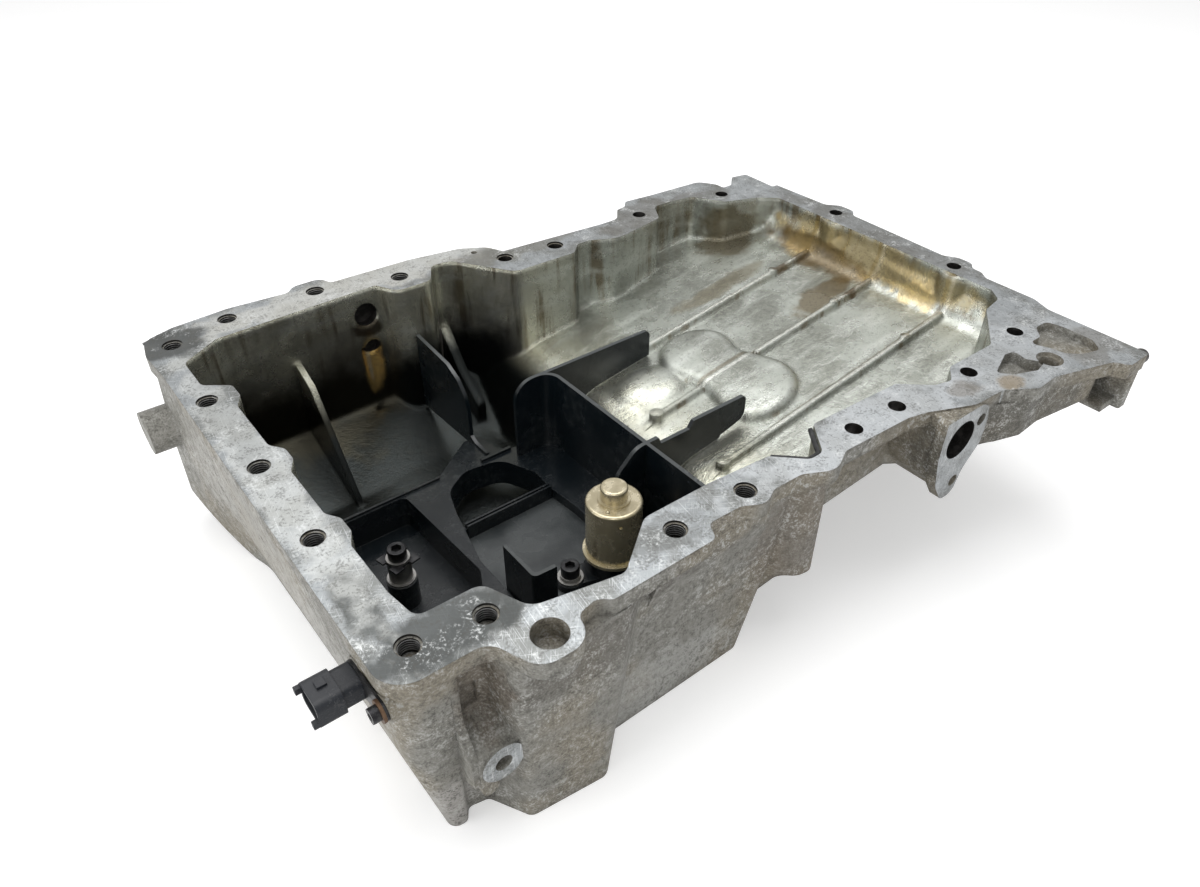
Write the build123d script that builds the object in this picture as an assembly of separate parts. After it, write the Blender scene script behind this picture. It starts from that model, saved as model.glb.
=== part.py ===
# Cast aluminium engine oil pan with its moulded baffle tray, oil level sensor,
# wall connector, tray screws, drain plug and dowel.
# Millimetres, +Z up. Plan places are measured from the bolt hole at the front left
# corner, on the machined gasket face; the finished part is then moved so that the
# middle of its footprint on the ground is at the origin.
import os
from functools import cache
from math import atan2, cos, degrees, hypot, radians, sin

from build123d import *

# Gasket flange
FLANGE_T = 9.0            # thickness of the machined flange
BOLT_R = 4.5              # clearance hole for an 8 mm bolt
BOLT_RING_R = 5.4         # spot face round the bolt holes of the sump
RING_DEPTH = 1.2
SPOT_R = 7.2              # seat of the bolt heads under the flange
EAR_HOLE_R = 7.7          # large dowel bore in the front ear
EAR_HOLE_DEPTH = 10.5
EAR_WALL = 4.0
EAR_DEEP = 13.0
END_HOLE_R = 7.0          # bore in the far front ear
END_HOLE_STEP = 2.0
END_BORE_R = 5.4
PILOT_R = 2.0

# Levels under the gasket face
SUMP_BOTTOM = -113.0      # ground, underside of the deep sump
SUMP_FLOOR_T = 8.0        # floor thickness of the deep sump
WALL = 5.5                # side wall round the cavity
SHALLOW_FLOOR_T = 5.0     # floor thickness of the shallow end
SHALLOW_END_X = 402.0     # place and height where the shallow floor meets the end wall
SHALLOW_END_Z = -26.0
SHALLOW_SLOPE = 0.155     # rise of the shallow floor per millimetre along the pan

FLOOR_Z = SUMP_BOTTOM + SUMP_FLOOR_T

# Moulded tray
PLATE_Z = FLOOR_Z + 23.0  # top of the tray plate
PLATE_T = 2.5
PANEL_Z = PLATE_Z - 6.5   # lower panel in front of the pick-up opening
WELL_FLOOR_Z = FLOOR_Z + 2.0
FENCE_TOP_Z = -30.0
FENCE_T = 2.4
TRAY_GAP = 0.5            # running gap between the tray and the casting

# Level sensor
SENSOR_X = 139.0
SENSOR_Y = 52.5
CAN_R = 14.8
CAN_BASE_Z = FLOOR_Z + 29.0
CAN_TOP_Z = CAN_BASE_Z + 35.5
CAN_RIM_R = 16.4
CAP_R = 7.1
CAP_H = 9.0

# Socket head screws that hold the tray
SCREW_R = 3.0
SCREW_HEAD_R = 5.0
SCREW_HEAD_H = 6.0
SOCKET_R = 2.9
LEFT_SCREW = (44.0, 112.0)
RIGHT_SCREW = (113.5, 56.5)
LEFT_SCREW_TOP = PLATE_Z + 18.0
RIGHT_SCREW_TOP = PLATE_Z + 7.0

# Connector through the left wall
CONN_Y = 16.0
CONN_Z = -23.0
CONN_BORE_R = 5.2
CONN_SCREW = (-7.0, -17.0)

# Shapes on the casting
RIB_H = 4.2               # ribs of the shallow floor
RIB_PLACES = (49.0, 105.5, 160.5)
RIB_START = {49.0: 213.0, 105.5: 294.0, 160.5: 248.0}
PEG_X = 213.0
PEG_TOP = -49.5
DOME_X = 272.0
DOME_FOOT = [
    (251, 62), (266, 57.5), (284, 61), (297, 72), (301, 86), (296, 103), (292, 118),
    (296, 134), (290, 148), (272, 156.5), (254, 151), (245, 137), (245, 123), (249, 106),
    (246, 90), (245, 74),
]
DOME_STEPS = ((-1.5, -3), (0, 0), (1.6, 3), (4.2, 4.9), (8, 5.6))
END_PILLARS = ((418.5, 53.0), (420.5, 152.0))
RING_BOSS = (20.0, -62.0)
PORT_Y = -40.0
PORT_FACE = [
    (302, -1, 2), (309, -4, 5), (312, -15, 8), (311.5, -29, 9), (301, -42, 10),
    (297, -56.5, 6), (287, -56.5, 6), (278, -43, 12), (273.5, -24, 12), (273.5, -1, 2),
]
PORT_NECK = [
    (306, -1, 1), (309.5, -28, 6), (299, -40, 6), (295, -53, 3), (289, -53, 3),
    (280, -42, 6), (276, -24, 6), (276, -1, 1),
]
PORT_BORE = (289.5, -17.5)
PORT_BOLTS = ((305.0, -11.5, 14.0), (294.5, -46.8, 12.0))
PORT_BORE_R = 11.0
PORT_BOLT_R = 3.4
RING_BORE_R = 4.0
DOWEL_Y = -62.0
DOWEL_Z = -7.5
DOWEL_R = 4.4
DOWEL_SEAT = 403.2        # inner end of the pin and the face it stands out of
DOWEL_FACE = 413.5
DOWEL_GROOVE = 1.0
DOWEL_OUT = 10.5
DOWEL_TIP_R = 2.6
LEFT_POST_TOP = PLATE_Z - 6.0
RIGHT_POST_TOP = PLATE_Z - 6.0
RIGHT_POST_R = 7.0

CONN_SCREW_R = 2.4
CONN_FIT = 0.1            # running gap of the connector, its screw and the dowel
PAD_X = -15.8             # flat faces on the left wall
PLATE_GAUGE = 1.2
SEAL_X = -9.0
SEAL_T = 2.6
SEAL_IN_R = 3.9
PIN_PLACES = (-4.0, 0.0, 4.0)

# Fits of the tray, screws and sensor
SCREW_FIT = 0.15
TUB_T = 2.0
SKIRT_Z = FLOOR_Z + 6.0
POST_R = 6.0
TUBE_R = 8.2
LIP_TOP = LEFT_POST_TOP + 2.0
LIP_T = 2.0
BASE_R = 15.0
FOOT_T = 3.5
WASHER_T = 1.5
CLIP_T = 1.0
SLEEVE_TOP = LEFT_SCREW_TOP - SCREW_HEAD_H - WASHER_T - CLIP_T
GUARD_TOP_Z = PLATE_Z + 30.0
X_FENCE_Y = 156.0
Y_FENCE_X = 173.0
E_FENCE_Y = 68.0
B_FENCE_X = 133.0
TRAY_EDGE = [
    (-12, -32, 0), (175.5, -32, 0), (175.5, 160, 3), (142, 166, 6), (138, 188, 3),
    (128, 188, 3), (98, 167.2, 4), (-12, 167.2, 0),
]
WELL = [(14.5, 74, 5), (71, 74, 8), (78, 88, 8), (74.3, 164.5, 4), (14.5, 164.5, 4)]
PANEL = [(81, 36, 4), (147, 36, 4), (147.5, 98, 3), (145.3, 119, 0), (87.5, 119, 0),
         (81.5, 94, 4)]
OPENING = [
    (88, 121.5, 0), (145.3, 121.5, 0), (146.5, 137, 9), (136, 160, 14), (113, 163, 14),
    (97, 153, 14), (90.5, 133, 10),
]

# Drain plug on the sloped right wall of the sump
DRAIN_Y = 120.0
DRAIN_Z = -98.0
DRAIN_R = 7.0
DRAIN_PAD_R = 12.0
DRAIN_PAD_IN = 7.0
DRAIN_PAD_OUT = 1.5
DRAIN_SHANK = 11.0

ORIGIN = (198.0, 110.5, SUMP_BOTTOM)


def shallow_z(x):
    """Height of the shallow floor at a place along the pan."""
    return SHALLOW_END_Z - SHALLOW_SLOPE * (SHALLOW_END_X - x)


def outline(corners, z=0.0):
    """Flat face bounded by straight runs with rounded corners (x, y, radius)."""
    path = FilletPolyline(
        *[(x, y) for x, y, r in corners], radius=[r for x, y, r in corners], close=True
    )
    return Pos(0, 0, z) * make_face(path.edges())


def prism(corners, top, bottom):
    """Upright prism of an outline between two heights."""
    return extrude(outline(corners, bottom), amount=top - bottom, dir=(0, 0, 1))


def side_prism(corners, y0, y1):
    """Prism of an outline drawn in the X-Z plane between two places across the pan."""
    path = FilletPolyline(
        *[(x, 0, z) for x, z, r in corners], radius=[r for x, z, r in corners], close=True
    )
    return extrude(Pos(0, y0, 0) * make_face(path.edges()), amount=y1 - y0, dir=(0, 1, 0))


def rod(x, y, z0, z1, r):
    """Upright cylinder between two heights."""
    return Pos(x, y, z0) * Cylinder(r, z1 - z0, align=(Align.CENTER, Align.CENTER, Align.MIN))


def rod_x(x0, x1, y, z, r):
    """Cylinder lying along the pan."""
    turn = Rot(0, 90, 0) * Cylinder(r, x1 - x0, align=(Align.CENTER, Align.CENTER, Align.MIN))
    return Pos(x0, y, z) * turn


def rod_y(x, y0, y1, z, r):
    """Cylinder lying across the pan."""
    turn = Rot(-90, 0, 0) * Cylinder(r, y1 - y0, align=(Align.CENTER, Align.CENTER, Align.MIN))
    return Pos(x, y0, z) * turn


def box(x0, x1, y0, y1, z0, z1):
    """Box between corner places."""
    return Pos(x0, y0, z0) * Box(
        x1 - x0, y1 - y0, z1 - z0, align=(Align.MIN, Align.MIN, Align.MIN)
    )


# Bolt holes of the gasket face: (x, y). The first group stands over the sump walls, and
# three of those have a cast column under them; the rest are open under the flange.
COLUMN_BOLTS = [(-2.4, 265.8), (31.7, 275.7), (85.3, 275.7)]
WALL_BOLTS = [
    (0.0, 0.0), (30.8, -4.5), (118.9, -13.8), (160.1, -14.0), (-4.1, 74.8), (-4.3, 134.2),
    (-5.4, 200.7), (134.5, 261.1),
] + COLUMN_BOLTS
THROUGH_RINGED = [(200.4, 242.9), (236.4, 238.0)]
THROUGH_PLAIN = [
    (233.8, -13.9), (265.5, -14.9), (320.5, -18.7), (376.7, -10.2), (418.3, 58.9),
    (422.8, 158.9), (382.0, 232.1), (311.1, 241.3),
]
EAR_HOLE = (44.6, -27.2)
END_HOLE = (365.9, -37.9)
PILOT_HOLE = (188.4, 261.3)

FLANGE_EDGE = [
    (-16.5, -16.3, 14), (24, -16.8, 9), (33, -39, 11), (56, -39.5, 11), (58, -26.5, 5),
    (68.5, -24.5, 5), (74, -28.8, 3), (128.5, -28.5, 4), (132.5, -20, 4), (151, -20.5, 8),
    (161, -26.5, 9), (170.5, -21.5, 8), (188, -22, 8), (203.5, -30, 12), (217, -23, 8),
    (262, -24.8, 3), (273, -27.5, 3), (298, -38.5, 12), (320, -39.5, 10), (336.5, -50, 4),
    (352, -49, 6), (390, -60.5, 4), (394.5, -68, 3), (413.5, -68, 2), (414.5, -8, 6),
    (419.5, 4, 8), (420, 37, 4), (424.5, 43, 4), (425, 50, 4), (430.5, 54, 6),
    (430.5, 64, 6), (425.5, 72, 5), (428.5, 148, 4), (434.5, 153, 6), (434.5, 165, 6),
    (427.5, 173, 5), (426.5, 219, 1), (422, 219, 1), (423, 248, 2), (410.5, 250.5, 3),
    (399.5, 240, 4), (391.5, 240, 1.5), (391.5, 248, 7), (384, 259.5, 8), (341, 262, 12),
    (317.5, 264.5, 4), (311.5, 258, 2), (304, 257, 5), (294.5, 245, 8), (280, 245, 14),
    (204.5, 251.5, 3), (199, 263, 10), (184, 272, 16), (150, 278, 22), (97.5, 280, 3),
    (94, 289, 7), (76.5, 289, 8), (71.5, 283.5, 5), (36, 287, 20), (3, 284.5, 16),
    (-14, 279, 11), (-17.5, 262, 9), (-16, 240, 12),
]

CAVITY_EDGE = [
    (9, 10.5, 5), (37.5, 9.8, 7), (46.5, -12, 9), (86.5, -20.5, 6), (113, -0.3, 9),
    (150, -0.6, 12), (185.5, -3.5, 2), (199.5, -17, 6), (208, -17, 6), (221, 0.6, 3),
    (281, -2, 3), (296, -15.2, 3), (306.5, -18, 5), (317, -9.5, 6), (354, -10, 7),
    (386, 14.2, 7), (402.5, 17, 6), (409.3, 26, 4), (410, 202, 4), (398, 211.5, 4),
    (374.5, 220.5, 9), (361.5, 242, 8), (343, 245, 6), (328.5, 245, 6), (318.5, 228.5, 5),
    (284, 222, 8), (274.5, 222, 8), (258.5, 230, 5), (249, 230, 4), (240, 221.3, 5),
    (195.5, 222.5, 10), (170.5, 260, 7), (157.5, 262.5, 7), (147.5, 245, 7),
    (125, 245.5, 9), (117.5, 260, 2), (19, 257.3, 6), (-3, 243, 6), (-3, 216.5, 5),
    (9.8, 207, 5), (9.8, 195.5, 5), (5.2, 187, 5), (5.2, 147, 5), (10.5, 139.5, 5),
    (10.5, 130, 5), (6, 122, 5), (6, 86, 5), (10.5, 79, 5), (10.5, 69, 5), (6.5, 61, 5),
    (6.5, 28, 8),
]

# Deep sump skin at three heights: each row is a corner as (x, y, radius) under the
# flange, at mid height and at the bottom.
SKIN_LEVELS = (-FLANGE_T, -60.0, SUMP_BOTTOM)
SUMP_SKIN = [
    ((-15.5, -15.5, 13), (-11.5, -13.5, 10), (-0.5, -11, 5)),
    ((8, -15.5, 2), (7.5, -14, 2), (7, -11.5, 3)),
    ((8.5, -8, 2), (9, -7.5, 2), (10.5, -6, 3)),
    ((24.5, -8, 4), (24, -8, 5), (20, -8, 4)),
    ((28.5, -29, 6), (29, -29, 6), (30.5, -27, 5)),
    ((83, -29.5, 9), (78, -30, 9), (69, -31.5, 7)),
    ((101.5, -15.5, 4), (95, -15, 4), (86, -14.5, 4)),
    ((198, -16, 8), (189, -15, 8), (173, -14, 8)),
    ((198, 228, 8), (189, 228, 8), (173, 228, 8)),
    ((178, 270, 10), (174, 269, 10), (160, 266, 10)),
    ((-15, 273, 10), (-20, 270, 12), (-24, 266, 12)),
    ((-15, 185, 40), (-12.5, 185, 40), (-2.5, 190, 40)),
]

# Underside of the casting and floor of the cavity, drawn along the pan as (x, z, radius)
UNDERSIDE = [
    (-60, -FLANGE_T + 1, 0), (-60, SUMP_BOTTOM, 0), (171.5, SUMP_BOTTOM, 6), (184, -84, 4),
    (191, -71, 6), (199, -72.5, 8), (213.5, -76, 5), (216, -68, 4),
    (222, shallow_z(222) - SHALLOW_FLOOR_T + 1.5, 6),
    (SHALLOW_END_X - 2, shallow_z(SHALLOW_END_X) - SHALLOW_FLOOR_T, 14),
    (417, -20, 5), (419, -FLANGE_T + 1, 0),
]
CAVITY_FLOOR = [
    (-60, 20, 0), (-60, FLOOR_Z, 0),
    (166, FLOOR_Z, 8), (180, -80, 10), (192, shallow_z(192), 42),
    (SHALLOW_END_X, SHALLOW_END_Z, 13), (412, -4, 0), (412, 20, 0),
]
BACK_SLOPE = [(203, SUMP_BOTTOM), (275, SUMP_BOTTOM), (275, -80)]


# The casting is one piece. It is handed over as blocks that touch along plain planes, so
# that each of them stays close to convex. A block takes what lies in its boxes, given as
# x, x, y, y, z, z, and what no block before it has taken.
DROP_X = 206              # between the deep sump and the shallow end
LOW = SUMP_BOTTOM - 5
WEST = min(x for x, y, r in FLANGE_EDGE) - 40
EAST = max(x for x, y, r in FLANGE_EDGE) + 40
SOUTH = min(y for x, y, r in FLANGE_EDGE) - 40
NORTH = max(y for x, y, r in FLANGE_EDGE) + 40
BLOCKS = {
    "front_port": [(272, 313.5, SOUTH, 1, -70, 5)],
    "flange_left": [(WEST, 12, 8, 250, -FLANGE_T, 5)],
    "flange_right": [(398, EAST, 22, 200, -FLANGE_T, 5)],
    "flange_ear": [(313.5, EAST, SOUTH, 100, -FLANGE_T, 5)],
    "flange_front": [(WEST, 272, SOUTH, 100, -FLANGE_T, 5), (30, 60, SOUTH, -14, -EAR_DEEP - 1, 0)],
    "flange_back": [(WEST, EAST, 100, NORTH, -FLANGE_T, 5)],
    "corner_pocket": [(8.8, 30.4, SOUTH, -4, -75, -40)],
    "sump_floor": [(WEST, DROP_X, SOUTH, NORTH, LOW, FLOOR_Z), (30, 125, 45, 125, LOW, 0)],
    "sump_left": [(WEST, 12, 11, 196, FLOOR_Z, 0)],
    "sump_front": [(WEST, DROP_X, SOUTH, 1, FLOOR_Z, 0), (WEST, 42, SOUTH, 11, FLOOR_Z, 0)],
    "sump_slope": [(WEST, DROP_X, 196, NORTH, FLOOR_Z, PLATE_Z)],
    "sump_back": [(WEST, 176, 196, NORTH, PLATE_Z, 0), (176, DROP_X, 220, NORTH, PLATE_Z, 0)],
    "sump_brink": [(WEST, DROP_X, SOUTH, NORTH, LOW, 0)],
    "ear_skirt": [(313.5, EAST, SOUTH, 1, LOW, 0), (370, EAST, SOUTH, 22, LOW, 0)],
    "shallow_front": [(DROP_X, 272, SOUTH, 1, LOW, 0)],
    "shallow_back": [(DROP_X, EAST, 220, NORTH, LOW, 0), (370, EAST, 200, NORTH, LOW, 0)],
    "end_wall": [(398, EAST, SOUTH, NORTH, LOW, 0)],
    "shallow_floor": [(DROP_X, EAST, SOUTH, NORTH, LOW, 0)],
}


def sump_skin(inset=0.0):
    """Outer skin of the deep sump, or the same shape drawn in by a wall thickness."""
    levels = []
    for k, z in enumerate(SKIN_LEVELS):
        level = outline([row[k] for row in SUMP_SKIN], z)
        levels.append(offset(level, amount=-inset) if inset else level)
    upper = loft([levels[0], levels[1]], ruled=True)
    lower = loft([levels[1], levels[2]], ruled=True)
    return upper + lower


def cavity():
    """Space inside the pan, to be taken out of the casting."""
    well = prism(CAVITY_EDGE, 10, SUMP_BOTTOM)
    well &= side_prism(CAVITY_FLOOR, -60, 320)
    toe = [(205, FLOOR_Z), (290, FLOOR_Z), (290, FLOOR_Z + 35)]
    slope = make_face(Polyline([(0, y, z) for y, z in toe], close=True).edges())
    well -= Pos(-60, 0, 0) * extrude(slope, amount=300, dir=(1, 0, 0))
    front = box(-60, 160, -60, 20, -140, SKIN_LEVELS[0])
    return well - (front - sump_skin(WALL))


def pan_blank():
    """Casting before the cavity is taken out: walls, sump skin and flange."""
    wall = offset(outline(CAVITY_EDGE, SUMP_BOTTOM), amount=WALL)
    wall = extrude(wall, amount=-FLANGE_T + 1 - SUMP_BOTTOM, dir=(0, 0, 1))
    wall = (wall & side_prism(UNDERSIDE, -60, 320)) - box(-60, 168, -60, 320, -140, -FLANGE_T + 2)
    return wall


def floor_rib(x0, x1, y):
    """Rib with a rounded top that follows the slope of the shallow floor."""
    z0 = shallow_z(x0)
    section = [
        (y - 2.6, z0 - 2, 0), (y + 2.6, z0 - 2, 0), (y + 1.6, z0 + RIB_H, 1.2),
        (y - 1.6, z0 + RIB_H, 1.2),
    ]
    path = FilletPolyline(
        *[(x0, yy, zz) for yy, zz, r in section], radius=[r for yy, zz, r in section],
        close=True,
    )
    run = Vector(x1 - x0, 0, SHALLOW_SLOPE * (x1 - x0))
    return extrude(make_face(path.edges()), amount=run.length, dir=run.normalized())


def brink_rib(y):
    """Rail that runs from a peg down the steep face into the sump."""
    rail = [
        (PEG_X, -53, 0), (204, -57, 14), (189, -69, 10), (179, -86, 0), (183, -92, 0),
        (198, -66, 0), (PEG_X, -60, 0),
    ]
    return side_prism(rail, y - 2.0, y + 2.0)


def dome_section(inset, z):
    """Smooth closed outline of the bulge, drawn in by a given distance."""
    points = []
    for k, (x, y) in enumerate(DOME_FOOT):
        x0, y0 = DOME_FOOT[k - 1]
        x1, y1 = DOME_FOOT[(k + 1) % len(DOME_FOOT)]
        run = hypot(x1 - x0, y1 - y0)
        points.append((x - inset * (y1 - y0) / run, y + inset * (x1 - x0) / run))
    return Pos(0, 0, z) * make_face(Spline(*points, periodic=True).edges())


def kidney_dome():
    """Smooth raised bulge on the shallow floor."""
    bump = loft([dome_section(inset, z) for inset, z in DOME_STEPS])
    tilt = -degrees(atan2(SHALLOW_SLOPE, 1))
    place = Pos(DOME_X, 0, shallow_z(DOME_X)) * Rot(0, tilt, 0) * Pos(-DOME_X, 0, 0)
    return place * bump


def back_fin(x0, x1, run):
    """Fin that stands against the back wall, drawn as (y, z) corners."""
    face = make_face(Polyline([(x0, y, z) for y, z in run], close=True).edges())
    return extrude(face, amount=x1 - x0, dir=(1, 0, 0))


def front_pocket():
    """Web, sloped step and ring boss of the pocket at the front left corner."""
    step = back_fin(9, 30, [(-4, -44), (-25.5, -53.5), (-26, -71), (-4, -82)])
    web = back_fin(
        6.8, 10.2,
        [(-5, -8), (-15, -8), (-15.5, -36), (-19.5, -46), (-25, -55), (-25, -70), (-5, -82)],
    )
    ring = rod_y(RING_BOSS[0], -26.5, -4, RING_BOSS[1], 10)
    nub = rod_y(14, -24.5, -4, -77, 4)
    return step + web + ring + nub


def ear_walls():
    """Skirt and shelf under the far front ear."""
    front = prism(
        [(300, -34, 0), (318, -40, 0), (336, -48, 4), (352, -48, 4), (388, -56, 0),
         (388, -51, 0), (353, -43, 4), (337, -43, 4), (318, -34.5, 0), (300, -28, 0)],
        -FLANGE_T + 1, -33,
    )
    shelf = prism(
        [(372, -52, 0), (388, -56, 0), (389, -63, 1.5), (413, -63, 1.5), (413, -30, 0),
         (372, -30, 0)],
        -27.5, -32.5,
    )
    inner = prism([(341, -30, 0), (410, -30, 0), (410, -34, 0), (341, -34, 0)],
                  -FLANGE_T + 1, -32.5)
    end = prism(
        [(405.5, -67, 1.5), (413, -67, 1.5), (414, -6, 3), (417.5, 10, 3), (413, 10, 0),
         (405.5, -4, 0)],
        -FLANGE_T + 1, -34,
    )
    left = prism([(338, -46, 0), (343, -46, 0), (343, -6, 0), (338, -6, 0)],
                 -FLANGE_T + 1, -27)
    slant = side_prism([(300, -60, 0), (300, -36, 0), (345, -30, 60), (388, -25, 0),
                        (394, -36.5, 0), (440, -31, 0), (440, -60, 0)], -80, -36)
    return (front + shelf + inner + end + left) - slant


def post(x, y, top, r):
    """Screw post that stands on the sump floor."""
    return rod(x, y, FLOOR_Z - 1, top, r)


@cache
def pan_casting():
    """Cast pan: walls, flange, ears, ribs, port and bosses, with all holes."""
    body = sump_skin() + pan_blank()
    body += prism(FLANGE_EDGE, 0, -FLANGE_T)
    body += rod(*EAR_HOLE, -EAR_DEEP, -FLANGE_T + 1, EAR_HOLE_R + EAR_WALL)
    for x, y in COLUMN_BOLTS:
        body += rod(x, y, -26, -FLANGE_T + 1, 8.8)
        body += Pos(x, y, -33) * Cone(4, 8.8, 14)
    body += back_fin(104, 172, [(-4, -8), (-20, -8), (-20, -22), (-15, -38), (-4, -38)])
    body += front_pocket()
    body += ear_walls()
    body += side_prism(PORT_FACE, PORT_Y, PORT_Y + 6)
    body += side_prism(PORT_NECK, PORT_Y + 5, -8)
    body += rod_x(-31.5, -10, 256, -42, 12.5)
    body += rod_x(PAD_X, -8, CONN_Y, CONN_Z, 9.5)
    body += rod_x(PAD_X, -8, *CONN_SCREW, 6)
    body -= back_fin(-60, 195, BACK_SLOPE)
    body += drain_boss()
    body -= cavity() - drain_boss()
    for y in RIB_PLACES:
        body += floor_rib(RIB_START[y], 400, y)
        body += rod(365, y, shallow_z(365) - 3, shallow_z(365) + RIB_H + 1, 3)
    body += floor_rib(PEG_X, 249, RIB_PLACES[1])
    for y in RIB_PLACES[:2]:
        body += rod(PEG_X, y, -62, PEG_TOP, 4) + brink_rib(y)
    body += kidney_dome()
    for x, y in END_PILLARS:
        pillar = rod(x, y, -29, -0.5, 14) & box(395, 412, y - 14, y + 14, -30, 0)
        body += pillar
    body += back_fin(58, 61.5, [(259, -33), (255, -33), (240, -40), (197, -106), (205, -106), (259, -84)])
    body += back_fin(157, 163, [(264, -44), (258, -45), (240, -68), (219, -84), (219, -101),
                                (264, -82.5)])
    body += post(*LEFT_SCREW, LEFT_POST_TOP, POST_R)
    body += post(*RIGHT_SCREW, RIGHT_POST_TOP, RIGHT_POST_R)
    return body - pan_holes()


@cache
def casting_blocks():
    """The one casting cut along plain planes into simple blocks that touch."""
    rest = pan_casting()
    blocks = {}
    for name, boxes in BLOCKS.items():
        zone = box(*boxes[0])
        for corners in boxes[1:]:
            zone += box(*corners)
        blocks[name] = rest & zone
        rest -= zone
    return blocks


def pan_holes():
    """Everything drilled or recessed in the casting."""
    holes = rod(*EAR_HOLE, -EAR_HOLE_DEPTH, 1, EAR_HOLE_R)
    holes += rod(*END_HOLE, -END_HOLE_STEP, 1, END_HOLE_R)
    holes += rod(*END_HOLE, -FLANGE_T - 1, 1, END_BORE_R)
    holes += rod(*PILOT_HOLE, -FLANGE_T, 1, PILOT_R)
    for x, y in WALL_BOLTS + THROUGH_RINGED:
        holes += rod(x, y, -FLANGE_T, 1, BOLT_R) + rod(x, y, -RING_DEPTH, 1, BOLT_RING_R)
    for x, y in THROUGH_PLAIN:
        holes += rod(x, y, -FLANGE_T - 1, 1, BOLT_R) + rod(x, y, -64, -FLANGE_T, SPOT_R)
    holes += rod_y(PORT_BORE[0], PORT_Y - 1, 10, PORT_BORE[1], PORT_BORE_R)
    for x, z, deep in PORT_BOLTS:
        holes += rod_y(x, PORT_Y - 1, PORT_Y + deep, z, PORT_BOLT_R)
    holes += rod_y(RING_BOSS[0], -27, -12, RING_BOSS[1], RING_BORE_R)
    holes += box(12, 21, -10, -5.5, -42, -29)
    holes += rod_x(-40, 14, CONN_Y, CONN_Z, CONN_BORE_R)
    holes += rod_x(-30, -9, *CONN_SCREW, CONN_SCREW_R)
    holes += rod_y(108, 250, 266, -17, 7.5)
    holes += rod_y(109, 250, 266, -41, 5.5)
    holes += Pos(108, 259, -39) * Rot(-9, 0, 0) * Cylinder(
        7, 46, align=(Align.CENTER, Align.CENTER, Align.MAX)
    )
    holes += prism(
        [(331, -28, 2), (351, -20.5, 3), (358, -22, 3), (355.5, -30, 3), (361, -38, 2),
         (351, -40, 2), (338, -35, 2)], 1, -6,
    )
    holes += prism(
        [(371.5, -22, 3), (383, -22, 4), (390, -15, 5), (400.5, -15, 4), (403, -24, 5),
         (402.5, -42, 5), (396, -49.5, 4), (384.5, -46, 3), (378, -40, 4), (376.5, -32, 5)],
        1, -5,
    )
    holes += rod_x(DOWEL_SEAT - 0.2, 416, DOWEL_Y, DOWEL_Z, DOWEL_R)
    for x, y in (LEFT_SCREW, RIGHT_SCREW):
        holes += rod(x, y, FLOOR_Z + 1, PLATE_Z, SCREW_R)
    holes += slope_place() * Cylinder(DRAIN_R, 60)
    holes += rod_y(327, 230, 262, -14, 5.5)
    return holes


def baffle_tray():
    """Moulded tray: plate, left well, pick-up opening, guard and fences."""
    low = PLATE_Z - PLATE_T
    reach = extrude(offset(outline(CAVITY_EDGE, low), amount=-TRAY_GAP), amount=PLATE_T,
                    dir=(0, 0, 1))
    plate = reach & prism(TRAY_EDGE, PLATE_Z, low) & sump_skin(WALL + TRAY_GAP)
    tray = plate - prism(WELL, 0, low - 9) - prism(PANEL, 0, low - 9) - prism(OPENING, 0, low - 9)
    well_low = WELL_FLOOR_Z - TUB_T
    tub = extrude(offset(outline(WELL, well_low), amount=TUB_T), amount=PLATE_Z - well_low,
                  dir=(0, 0, 1))
    tray += tub - prism(WELL, 0, WELL_FLOOR_Z)
    panel_low = PANEL_Z - TUB_T
    pan = extrude(offset(outline(PANEL, panel_low), amount=TUB_T), amount=PLATE_Z - panel_low,
                  dir=(0, 0, 1))
    skirt = extrude(offset(outline(OPENING, SKIRT_Z), amount=TUB_T), amount=PLATE_Z - SKIRT_Z,
                    dir=(0, 0, 1))
    tray += (pan - prism(PANEL, 0, PANEL_Z)) + (skirt - prism(PANEL, 0, LOW))
    tray -= prism(OPENING, 0, LOW)
    for y in (117.6, 120.0):
        tray += box(88.5, 145, y, y + 1.2, panel_low, PLATE_Z + 3)
    tray += box(88.5, 145, 117.6, 121.2, panel_low, PANEL_Z + 1)
    tray += box(30, 98, 165.4, 167, PLATE_Z - 1, PLATE_Z + 1.6)
    tray += guard() + fences()
    x, y = LEFT_SCREW
    tray += rod(x, y, WELL_FLOOR_Z - 1, LIP_TOP, TUBE_R)
    tray -= rod(x, y, LOW, LIP_TOP - LIP_T, POST_R + TRAY_GAP)
    tray -= rod(x, y, LOW, 0, SCREW_R + SCREW_FIT)
    tray -= rod(*RIGHT_SCREW, LOW, 0, POST_R + TRAY_GAP + 1)
    tray -= rod(SENSOR_X, SENSOR_Y, LOW, PLATE_Z + 22, BASE_R + 1)
    return tray


def guard():
    """L-shaped guard wall in front of the pick-up opening."""
    band = [
        (82, 69, 0), (82, 42, 3), (104, 40.5, 0), (104, 42.7, 0), (84.2, 44.2, 2),
        (84.2, 69, 0),
    ]
    return prism(band, GUARD_TOP_Z, PANEL_Z - 1)


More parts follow.
